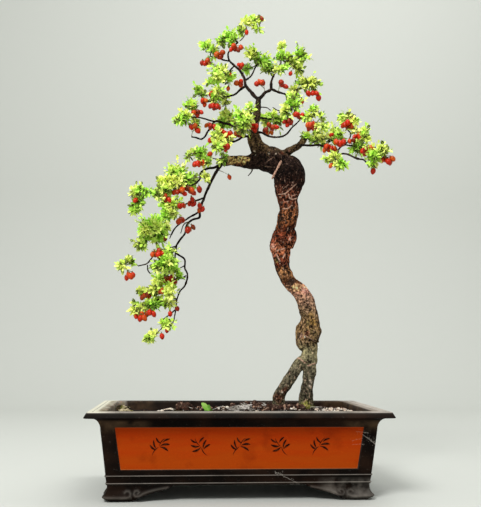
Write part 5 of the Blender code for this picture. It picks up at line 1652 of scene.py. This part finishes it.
def berry_look(berry):
    """A glossy berry: red, more orange where it still turns and at its stalk end, with faint specks."""
    look = Look("berry", berry.ripe, 0.34, Specular_IOR_Level=0.16, Coat_Weight=0.10, Coat_Roughness=0.15)
    place = look.place
    tone, along, dryness_and_shade = look.layer("skin")
    look.lay((tone + place.noise(90.0) * 0.3).between(0.4, 0.8), berry.turning)
    look.stain(dimmed(berry.ripe, 0.38), 75.0, 0.5, 0.72, 0.5)
    # Painted shade as well as dryness: some berries are laid dark brown-red
    look.lay(dryness_and_shade, berry.dry)
    look.lay(along.between(0.0, 0.16, 0.6, 0.0), berry.turning)
    look.stain(berry.turning, 1100.0, 0.66, 0.74, 0.25)
    relief = place.noise(260.0) + place.noise(1200.0)
    return look.done(relief, 0.00012, place.noise(130.0).between(0.3, 0.7, 0.18, 0.34))


def stalk_look(berry):
    """Stalks and calyxes: yellow-green with browner patches."""
    look = Look("stalk", berry.stem)
    look.stain((0.167, 0.091, 0.034), 120.0, 0.42, 0.64)
    return look.done(look.place.noise(900.0), 0.00015)


class BONSAI_OT_berries(Operator):
    """Hang the bunches of berries"""

    bl_idname = "bonsai.berries"
    bl_label = "Berries"

    def execute(self, context):
        """Hang each bunch in place of its simple solid."""
        berry = settings("berry")
        looks = (berry_look(berry), stalk_look(berry))
        wood = wood_points()
        for seed, name in enumerate(sorted(CLUSTERS), 700):
            mesh = hang_bunch(name, seed, berry, wood)
            put_piece("fruit_" + name, mesh, looks, ("berries_" + name,))
        return {"FINISHED"}


# Wood, in mm

ROUTE_STEP = 2.0
TWIG_STEP = 1.5
# How far the bark's grain is drawn out along a branch, and the length over which it turns one radian
STRETCH = 7.0
TURN_LENGTH = 60.0
TRUNK_SIDES = 28
# Where the bark's relief starts above the roots, and the height over which it grows
RELIEF_FOOT = 100.0
RELIEF_GROWTH = 12.0
# How many points are measured against a branch at a time
POINTS_AT_ONCE = 4000
# Knots and hollows on the trunk: middle and reach in mm, and how far the bark stands out or sinks
KNOTS = ((95, -22, 205, 8, 2.0), (112, -20, 214, 7, 1.6), (98, -24, 222, 4, -2.6), (97, -25, 209, 4, -2.4),
         (86, -10, 231, 8, -2.2), (124, -8, 221, 6, 1.4), (106, -22, 206, 5, -2.0), (104, -22, 240, 5, -1.2),
         (88, -24, 276, 7, 1.4), (66, -14, 300, 6, 1.6), (60, -8, 318, 6, -1.4), (48, -5, 350, 5, 2.2),
         (50, -4, 336, 7, -1.6), (74, -10, 336, 7, 1.8), (58, -6, 350, 7, 1.6), (84, -12, 356, 6, 2.0),
         (66, -18, 384, 6, -1.6), (84, -22, 398, 6, 1.6), (66, -20, 418, 7, 1.8), (92, -20, 436, 8, 1.6),
         (58, -20, 446, 8, -1.8), (76, -26, 456, 9, 1.8), (50, -20, 470, 8, 1.4), (36, -18, 466, 7, -1.6),
         (22, -16, 474, 5, 1.4), (8, -15, 468, 4, -1.4), (-8, -17, 471, 3, 0.9), (78, -13, 486, 4, 1.0),
         (30, -16, 498, 5, -1.2), (105, -19, 148, 4, 1.2), (101, -19, 160, 3, -1.4), (98, -19, 135, 4, -1.4),
         (64, -21, 134, 3, 1.4), (72, -20, 296, 4, -1.4))
# Old roots of shoots lying on the head, as (x, y, z, radius) in mm
SHOULDERS = (((36, -15, 491, 4.2), (46, -19, 483, 3.8), (56, -21, 477, 3.4), (64, -22, 471, 2.8),
              (69, -24, 463, 1.8)),
             ((60, -18, 480, 3.0), (70, -18, 476, 3.0), (80, -18, 470, 2.4), (86, -19, 462, 1.6)),
             ((22, -13, 486, 3.2), (32, -17, 480, 3.2), (40, -19, 472, 2.2), (44, -20, 464, 1.4)))
# A dead strip that leans on the trunk below the head, as (x, y, z, radius) in mm
STRIP = ((65, -20, 471, 1.5), (61, -21, 463, 1.8), (56, -16, 453, 1.8), (52, -11.5, 445.5, 1.6),
         (51, -10, 443.5, 1.2))


def wood_coordinates(points, table):
    """For each point the distance to a branch over its radius, and its place round and along the branch.

    The nearest of the branch's rows gives the heading; the way along is the row's own plus the offset's
    share in the heading, and the rest of the offset gives the two places across.
    """
    route = smooth_route(table, ROUTE_STEP)
    centres, radii = route[:, :3], route[:, 3]
    headings = unit(np.gradient(centres, axis=0))
    hint = np.linalg.eigh(headings.T @ headings)[1][:, 0]
    side, other = across(headings, hint[None])
    lengths = np.concatenate(([0.0], np.cumsum(np.linalg.norm(np.diff(centres, axis=0), axis=1))))
    nearest = np.concatenate([np.argmin(((some[:, None] - centres[None]) ** 2).sum(-1), axis=1)
                              for some in np.array_split(points, max(1, len(points) // POINTS_AT_ONCE))])
    offset = points - centres[nearest]
    forward = (offset * headings[nearest]).sum(-1)
    outward = offset - headings[nearest] * forward[:, None]
    turn = lengths[nearest] / TURN_LENGTH
    first, second = (outward * side[nearest]).sum(-1), (outward * other[nearest]).sum(-1)
    twisted = np.stack((first * np.cos(turn) - second * np.sin(turn),
                        first * np.sin(turn) + second * np.cos(turn), lengths[nearest] + forward), -1)
    return np.linalg.norm(offset, axis=1) / radii[nearest], twisted


def bark_relief(points):
    """How far the bark stands out, and how ridged it is, at each point.

    Each thick branch has its own ridges: 1 - 2 |noise| of its coordinates, drawn out along it. The
    branches' reliefs are mixed by exp(-8 distance), so they fade into each other where they join.
    """
    total, weights = 0.0, 0.0
    for seed, name in enumerate(THICK):
        distance, place = wood_coordinates(points, BRANCHES[name])
        drawn = place * (1, 1, 1 / STRETCH)
        wide = 1 - 2 * np.abs(ripple(drawn / 6.5, seed))
        fine = 1 - 2 * np.abs(ripple(drawn / 2.4, seed + 20))
        weight = np.exp(-8 * distance)
        total += weight * (0.55 * wide + 0.30 * fine + 0.75 * rough(place / (9, 9, 14), 3, seed + 40))
        weights += weight
    return total / weights


def make_trunk_mesh(wood):
    """The thick wood: lobed tubes joined into one skin, smoothed, then raised along its normals."""
    shapes = []
    angles = ring_angles(TRUNK_SIDES)
    for seed, table in enumerate([BRANCHES[name] for name in THICK] + list(SHOULDERS)):
        route = smooth_route(table, ROUTE_STEP)
        along = np.arange(len(route))[:, None] * ROUTE_STEP
        wave = 0.085 * np.cos(2 * angles + along / 34 + seed)
        wave += 0.060 * np.cos(3 * angles - along / 23 + 2 * seed)
        wave += 0.035 * np.cos(5 * angles + along / 15)
        reach = route[:, 3:] * (1 + wave)
        reach[-3:] *= np.array((0.94, 0.82, 0.55))[:, None]
        shapes.append(tube(route[:, :3], reach, TRUNK_SIDES))
    piece = place_object("trunk", make_mesh("trunk", *join(shapes)))
    skin = piece.modifiers.new("skin", "REMESH")
    skin.mode = "VOXEL"
    skin.voxel_size = wood.grain
    even = piece.modifiers.new("even", "SMOOTH")
    even.factor = 0.5
    even.iterations = 8
    bpy.context.view_layer.update()
    graph = bpy.context.evaluated_depsgraph_get()
    mesh = bpy.data.meshes.new_from_object(piece.evaluated_get(graph), depsgraph=graph)
    bpy.data.objects.remove(piece, do_unlink=True)
    places, normals = np.empty((2, len(mesh.vertices) * 3), dtype=np.float32)
    mesh.vertices.foreach_get("co", places)
    mesh.vertex_normals.foreach_get("vector", normals)
    places, normals = places.reshape(-1, 3).astype(float) / MM, normals.reshape(-1, 3).astype(float)
    ridges = bark_relief(places)
    raised = ridges * wood.ridges / MM
    for x, y, z, reach, height in KNOTS:
        raised += height * hill(np.linalg.norm(places - (x, y, z), axis=1) / reach * 1.4)
    raised *= np.clip((places[:, 2] - RELIEF_FOOT) / RELIEF_GROWTH, 0.0, 1.0)
    places += normals * raised[:, None]
    mesh.vertices.foreach_set("co", (places * MM).astype(np.float32).ravel())
    mesh.attributes.new("ridges", "FLOAT", "POINT").data.foreach_set("value", ridges.astype(np.float32))
    mesh.update()
    mesh.shade_smooth()
    return mesh


# Colours of the bark by height in mm, from the soil to the top of the head
BARK_TONES = ((100, (0.129, 0.122, 0.061)), (135, (0.080, 0.067, 0.042)), (165, (0.160, 0.138, 0.085)),
              (192, (0.262, 0.228, 0.118)), (208, (0.228, 0.144, 0.068)), (226, (0.213, 0.125, 0.05)),
              (244, (0.150, 0.094, 0.046)), (262, (0.281, 0.163, 0.099)), (273, (0.365, 0.175, 0.11)),
              (283, (0.578, 0.281, 0.152)), (291, (0.066, 0.02, 0.0055)), (302, (0.198, 0.091, 0.034)),
              (315, (0.043, 0.008, 0.0024)), (327, (0.152, 0.035, 0.011)), (339, (0.365, 0.118, 0.053)),
              (354, (0.144, 0.034, 0.014)), (370, (0.05, 0.011, 0.003)), (386, (0.205, 0.073, 0.026)),
              (405, (0.088, 0.022, 0.009)), (421, (0.077, 0.021, 0.0095)), (434, (0.018, 0.0062, 0.0034)),
              (450, (0.009, 0.0036, 0.0023)), (474, (0.023, 0.012, 0.0084)), (500, (0.129, 0.08, 0.036)),
              (560, (0.023, 0.017, 0.0091)))
BARK_TOP = 600.0
# Colours of the places that differ
PLACE_TONES = {"moss": (0.228, 0.213, 0.042), "rust": (0.091, 0.02, 0.0091), "ochre": (0.471, 0.258, 0.046),
               "dark": (0.0076, 0.0046, 0.003), "orange": (0.722, 0.395, 0.182),
               "pink": (0.502, 0.22, 0.167), "mauve": (0.334, 0.198, 0.167), "pale": (0.608, 0.502, 0.395),
               "olive": (0.129, 0.106, 0.034), "bare": (0.593, 0.372, 0.129), "grey": (0.228, 0.179, 0.137)}
# Places on the bark that differ: (x, y, z, reach) in mm, colour and how strong. The dark spots that sit
# in the knots' hollows are painted shade
BARK_SPOTS = (
    (58, -20, 126, 9, "rust", 0.7), (68, -22, 137, 6, "rust", 0.6), (64, -22, 134, 1.7, "pale", 0.9),
    (57, -22, 119, 1.8, "pale", 0.7), (98, -20, 114, 11, "moss", 0.9), (106, -19, 149, 4, "pale", 0.55),
    (104, -19, 143, 3, "pale", 0.4), (100.5, -19, 160, 3.6, "dark", 0.8),
    (108.5, -18, 160, 3.2, "dark", 0.8), (98.5, -20, 135, 4, "dark", 0.75), (107, -18, 133, 3, "dark", 0.6),
    (103, -20, 125, 3, "dark", 0.6), (87, -18, 214, 8, "mauve", 0.7), (97.5, -22, 228, 3.4, "dark", 1.0),
    (94, -22, 225, 2.3, "pale", 0.9), (99.5, -23, 222, 2.8, "dark", 0.95), (91, -22, 211, 6, "rust", 0.85),
    (99, -24, 217, 4.4, "rust", 0.8), (96, -22, 212, 2.0, "pale", 1.0), (96, -22, 208, 2.8, "dark", 1.0),
    (104, -22, 207, 3.6, "dark", 1.0), (110, -20, 205, 3.6, "dark", 1.0), (118, -16, 211, 7, "dark", 0.8),
    (105.5, -22, 243, 6, "ochre", 0.15), (109, -22, 233, 6, "ochre", 0.4), (116, -18, 236, 4, "rust", 0.7),
    (100, -22, 231, 5, "olive", 0.6), (110, -22, 219, 6, "olive", 0.5), (105.7, -20, 194, 3, "pale", 0.4),
    (83, -22, 283, 7.0, "orange", 0.85), (88, -24, 281, 7, "orange", 0.6), (97, -24, 277, 8, "pink", 0.8),
    (106, -20, 277, 6, "mauve", 0.8), (92, -24, 270, 3.2, "rust", 0.7), (89, -24, 275, 3.0, "rust", 0.7),
    (101, -24, 259, 3.6, "rust", 0.5), (72, -16, 276, 4.5, "dark", 0.8), (78, -19, 290, 8, "dark", 0.9),
    (68, -16, 288, 4, "rust", 0.6), (79, -20, 296, 4, "dark", 0.7), (57, -8, 323, 5, "olive", 0.7),
    (66, -9, 321, 7, "rust", 0.9), (50, -5, 343, 8, "pink", 0.55), (52, -6, 331, 5, "pink", 0.4),
    (80, -10, 355, 6, "pink", 0.6), (62, -11, 358, 8, "rust", 0.75), (84, -4, 346, 4, "dark", 0.7),
    (77, -16, 366, 5, "dark", 0.8), (59, -14, 371, 4.5, "grey", 0.6), (85, -16, 384, 5, "dark", 0.7),
    (25, -17, 483, 2.4, "pale", 0.5), (25.5, -18, 477, 2.0, "pale", 0.8), (45.8, -21, 480, 2.8, "pale", 0.6),
    (54.6, -23, 477.5, 2.6, "pale", 0.6), (68, -22, 484, 9, "rust", 0.7), (76, -18, 484, 5, "pink", 0.5),
    (-9, -16, 468, 10, "bare", 1.0), (6, -14, 470, 9, "bare", 0.95), (14, -14, 471, 5, "bare", 0.9),
    (2, -12, 460, 7, "rust", 0.9), (14, -12, 460, 6, "dark", 0.9), (-20, -16, 465, 2.5, "dark", 0.9),
    (3.6, -15, 471, 2.0, "dark", 1.0), (7.6, -15, 470, 2.0, "dark", 1.0), (14.3, -15, 472, 2.4, "dark", 1.0),
    (-6, -16, 466, 2.4, "dark", 0.9),
)
# Pale cracks and scars drawn on the bark's front: their two ends as x and z in mm, width and how strong
BARK_LINES = (
    (85, 183, 98, 175, 1.3, 1.0), (101, 171, 113, 175.5, 1.3, 0.9), (96, 215, 112, 205, 1.0, 0.6),
    (59, 337.5, 75, 342.5, 1.2, 0.85), (58, 332.5, 62.6, 322, 1.3, 0.85), (72.6, 334, 68, 326, 1.3, 0.85),
    (57, 418, 69, 420, 1.0, 0.7), (69, 419.5, 84, 432.5, 1.0, 0.7), (57.5, 414, 64, 415, 1.0, 0.7),
    (74.2, 419.5, 75.8, 412.8, 1.0, 0.8), (75, 413.2, 81.4, 411.2, 1.1, 0.9),
    (80.5, 411.2, 87, 414, 1.1, 0.9), (78, 416, 87, 420, 0.9, 0.7), (64.5, 397, 74, 398.6, 1.0, 0.7),
    (73.6, 398.4, 80, 402.6, 1.0, 0.7), (36, 456, 50, 452, 0.9, 0.3), (38, 460, 50, 459, 0.9, 0.3),
    (42, 466, 52, 474, 0.9, 0.3), (66, 427, 74, 433, 0.8, 0.4), (62, 406, 74, 409, 0.8, 0.4),
    (66, 390, 70, 378, 0.8, 0.3),
)
# How far to the front the bark lies by height, where the lines cross it
FRONT_HEIGHTS = (300, 318, 346, 372)
FRONTS = (-20.0, -9.0, -7.0, -19.0)


def bark_line(place, x, z, x_end, z_end, width, strength):
    """A thin line on the bark's front between two places, as a mask."""
    front = np.interp((z + z_end) / 2, FRONT_HEIGHTS, FRONTS)
    first, second = np.array((x, front, z)), np.array((x_end, front, z_end))
    middle = (first + second) / 2
    normal = unit(np.cross(second - first, middle - np.array(CAMERA_PLACE) / MM))
    reach = np.linalg.norm(second - first) * 0.62
    return band(place, middle * MM, normal, width * MM, reach * MM) * (strength * 0.85)


def bark_look(wood):
    """Bark: zones by height, patches and pale cracks, speckled all over, painted shade in its furrows."""
    look = Look("bark", wood.dark, 0.8, Specular_IOR_Level=0.08)
    place = look.place
    height = place.parts()[2]
    waver = place.noise(110.0).math("MULTIPLY_ADD", 0.022, -0.011)
    look.ramp((height + waver) / (BARK_TOP * MM), [(where / BARK_TOP, tone) for where, tone in BARK_TONES])
    for x, y, z, reach, kind, strength in BARK_SPOTS:
        look.lay(spot(place, (x * MM, y * MM, z * MM), reach * MM) * strength, PLACE_TONES[kind])
    drawn = place.vector("MULTIPLY", (1.0, 1.0, 0.45))
    speckle = place.noise(330.0, 2.0).between(0.34, 0.66, -1.0, 1.0)
    streaks = drawn.noise(170.0, 3.0).between(0.34, 0.66, -1.0, 1.0)
    mottle = speckle * wood.speckle + streaks * wood.streaks
    knobs = height.between(0.296, 0.312) * height.between(0.438, 0.420)
    calmer = height.between(0.190, 0.225, 0.68, 1.0)
    shade = (mottle * knobs.math("MULTIPLY_ADD", 0.7, calmer) + 1.0).at_least(0.12)
    look.colour = look.colour.vector("SCALE", shade).vector("MINIMUM", (0.75, 0.75, 0.75))
    flecks = drawn.patches(420.0, 0.60, 0.68, 2.0) * wood.flecks * height.between(0.434, 0.446, 1.0, 0.35)
    pale = look.mixed(0.35, wood.crack).vector("SCALE", 1.7)
    look.lay(flecks, pale)
    pits = drawn.patches(300.0, 0.60, 0.66, 2.0) * height.between(0.195, 0.225, 0.50, 0.80)
    look.lay(pits, dimmed(wood.dark, 0.3))
    # Painted shade: the bark is darkened in its furrows, where the ridges layer falls below zero
    ridges = place.through("Attribute", {}, "Fac", attribute_name="ridges")
    look.lay(ridges.between(-1.0, 0.0, 0.85, 0.0) * calmer, dimmed(wood.dark, 0.35))
    for line in BARK_LINES:
        look.lay(bark_line(place, *line), wood.crack)
    return look.done(drawn.noise(900.0) + mottle * 1.5, 0.0008)


def twig_look(wood):
    """Twigs: near-black brown with paler skin in patches."""
    look = Look("twig_bark", wood.twig, 0.8, Specular_IOR_Level=0.08)
    look.stain(wood.dark, 120.0, 0.44, 0.66)
    look.stain(wood.worn, 240.0, 0.58, 0.70, 0.6)
    return look.done(look.place.noise(700.0), 0.0004)


def strip_look(wood):
    """A dead strip: pinkish tan with darker flecks."""
    look = Look("dead_strip", wood.crack, 0.8, Specular_IOR_Level=0.1)
    fleck = look.place.patches(420.0, 0.46, 0.62)
    look.lay(fleck, (0.26, 0.13, 0.09))
    return look.done(fleck, 0.0004)


class BONSAI_OT_trunk(Operator):
    """Raise the two legs, the trunk, its head and its stubs as one barked skin"""

    bl_idname = "bonsai.trunk"
    bl_label = "Trunk"

    def execute(self, context):
        """Make the trunk and the dead strip that leans on it."""
        wood = settings("wood")
        put_piece("trunk_bark", make_trunk_mesh(wood), (bark_look(wood),), ("tree",))
        strip = smooth_route(STRIP, TWIG_STEP)
        mesh = make_mesh("dead_strip", *tube(strip[:, :3], strip[:, 3:], 10), None, 60)
        put_piece("dead_strip", mesh, (strip_look(wood),), ("tree",))
        return {"FINISHED"}


class BONSAI_OT_twigs(Operator):
    """Make the thin branches, wavering and knotted"""

    bl_idname = "bonsai.twigs"
    bl_label = "Twigs"

    def execute(self, context):
        """Make every thin branch: a tube that wavers by noise and swells at its knots."""
        wood = settings("wood")
        shapes = []
        for seed, name in enumerate(sorted(set(BRANCHES) - set(THICK))):
            route = smooth_route(BRANCHES[name], TWIG_STEP)
            along = np.arange(len(route)) * TWIG_STEP
            line = np.stack((along / 9.0, np.full(len(along), seed * 7.3), np.zeros(len(along))), -1)
            waver = np.stack([ripple(line, 60 + axis) for axis in range(3)], -1) * wood.twig_waver / MM
            waver *= np.clip(np.minimum(along, along[::-1]) / 6.0, 0.0, 1.0)[:, None]
            swell = 1 + 0.42 * np.maximum(0.0, ripple(line * 1.9, 90)) ** 2 + 0.12 * ripple(line * 5.0, 91)
            round_line = np.broadcast_arrays(line[:, :1] * 2, line[:, 1:2], np.arange(8) * 0.9)
            lobes = 1 + 0.1 * ripple(np.stack(round_line, -1), 92)
            slim = 0.84 + 0.16 * ease((route[:, 3] - 3) / 2)
            shapes.append(tube(route[:, :3] + waver, (route[:, 3] * slim * swell)[:, None] * lobes, 8))
        put_piece("twigs", make_mesh("twigs", *join(shapes)), (twig_look(wood),), ("tree",))
        return {"FINISHED"}
































































# Stage, in mm

STAGE_WIDTH = 3200.0
STAGE_FRONT = -2200.0
STAGE_BEND = 1400.0
STAGE_RADIUS = 900.0
STAGE_TOP = 3000.0
STAGE_SUNK = 0.2


def make_stage_mesh():
    """The floor and backdrop: one line along the floor, round a quarter circle and up, carried across."""
    angles = np.radians(np.linspace(-90, 0, 25))
    back = STAGE_BEND + STAGE_RADIUS
    y = np.concatenate(((STAGE_FRONT,), STAGE_BEND + STAGE_RADIUS * np.cos(angles), (back,)))
    z = np.concatenate(((0.0,), STAGE_RADIUS + STAGE_RADIUS * np.sin(angles), (STAGE_TOP,))) - STAGE_SUNK
    x = np.linspace(STAGE_WIDTH, -STAGE_WIDTH, 9)
    rows = np.stack(np.broadcast_arrays(x[None, :], y[:, None], z[:, None]), -1)
    return make_mesh("stage", rows.reshape(-1, 3), [grid_faces(len(y), len(x))[:, ::-1]])


def add_light(name, place, target, size, power):
    """A round area light at a place, facing a target, that belongs to the stage."""
    lamp = bpy.data.lights.new(name, "AREA")
    lamp.shape = "DISK"
    lamp.size = size
    lamp.energy = power
    light = place_object(name, lamp)
    light.location = place
    light.rotation_euler = (Vector(target) - Vector(place)).to_track_quat("-Z", "Y").to_euler()


def add_camera():
    """The camera of the photograph: its axes from yaw, pitch and roll."""
    yaw, pitch, roll = (math.radians(angle) for angle in (CAMERA_YAW, CAMERA_PITCH, CAMERA_ROLL))
    forward = np.array((math.sin(yaw) * math.cos(pitch), math.cos(yaw) * math.cos(pitch), math.sin(pitch)))
    level = np.array((math.cos(yaw), -math.sin(yaw), 0.0))
    upright = np.cross(level, forward)
    right = level * math.cos(roll) + upright * math.sin(roll)
    top = upright * math.cos(roll) - level * math.sin(roll)
    lens = bpy.data.cameras.new("camera")
    lens.sensor_width = SENSOR
    lens.lens = CAMERA_FOCAL * SENSOR / PHOTO_HEIGHT
    camera = place_object("camera", lens)
    turn = np.stack((right, top, -forward), axis=1)
    camera.matrix_world = Matrix.Translation(CAMERA_PLACE) @ Matrix(turn.tolist()).to_4x4()
    bpy.context.scene.camera = camera


class BONSAI_OT_stage(Operator):
    """Set the floor, the backdrop, the lights and the camera"""

    bl_idname = "bonsai.stage"
    bl_label = "Stage"

    def execute(self, context):
        """Make the stage, the lights and the camera."""
        stage = settings("stage")
        sheet = place_object("stage", make_stage_mesh())
        look = Look("paper", stage.floor, 0.9, Specular_IOR_Level=0.1)
        look.lay(look.place.noise(30.0), tuple(min(1.0, value * 1.01) for value in stage.floor))
        sheet.data.materials.append(look.done())
        add_light("overhead", (0.0, -0.2, 2.3), (0.0, 0.15, 0.0), 2.2, stage.overhead)
        add_light("key", (-0.9, -1.6, 1.8), (0.02, 0, 0.35), 0.9, stage.key)
        add_light("backdrop_light", (0.7, 0.5, 2.6), (0.6, 2.3, 0.9), 1.6, stage.backdrop)
        world = bpy.data.worlds.new("sky")
        world.use_nodes = True
        background = world.node_tree.nodes["Background"]
        background.inputs["Color"].default_value = (0.98, 1.0, 0.97, 1.0)
        background.inputs["Strength"].default_value = stage.sky
        context.scene.world = world
        context.scene.view_settings.view_transform = "Standard"
        add_camera()
        return {"FINISHED"}


class BONSAI_PT_pieces(Panel):
    """List the pieces of the bonsai and their settings"""

    bl_label = "Goji Berry Bonsai"
    bl_idname = "BONSAI_PT_pieces"
    bl_space_type = "VIEW_3D"
    bl_region_type = "UI"
    bl_category = "Bonsai"

    def draw(self, context):
        """Draw a button for each operator, then the settings of each kind."""
        for operator in OPERATORS:
            self.layout.operator(operator.bl_idname)
        for name, group in GROUPS.items():
            box = self.layout.box()
            box.label(text=name.capitalize())
            for key in group.__annotations__:
                box.prop(getattr(context.scene, "bonsai_" + name), key)


OPERATORS = (BONSAI_OT_pot, BONSAI_OT_sprigs, BONSAI_OT_screens, BONSAI_OT_soil, BONSAI_OT_litter,
             BONSAI_OT_seedling, BONSAI_OT_trunk, BONSAI_OT_twigs, BONSAI_OT_foliage, BONSAI_OT_berries,
             BONSAI_OT_stage)
CLASSES = (*GROUPS.values(), *OPERATORS, BONSAI_PT_pieces)


def register():
    """Register the classes and hang the settings on the scene."""
    for item in CLASSES:
        bpy.utils.register_class(item)
    for name, group in GROUPS.items():
        setattr(bpy.types.Scene, "bonsai_" + name, PointerProperty(type=group))


def unregister():
    """Take the settings and the classes away again."""
    for name in GROUPS:
        delattr(bpy.types.Scene, "bonsai_" + name)
    for item in reversed(CLASSES):
        bpy.utils.unregister_class(item)


def main():
    """Make every piece."""
    register()
    bpy.ops.bonsai.pot()
    bpy.ops.bonsai.sprigs()
    bpy.ops.bonsai.screens()
    bpy.ops.bonsai.soil()
    bpy.ops.bonsai.litter()
    bpy.ops.bonsai.seedling()
    bpy.ops.bonsai.trunk()
    bpy.ops.bonsai.twigs()
    bpy.ops.bonsai.foliage()
    bpy.ops.bonsai.berries()
    bpy.ops.bonsai.stage()
    bpy.context.view_layer.update()


if __name__ == "__main__":
    main()
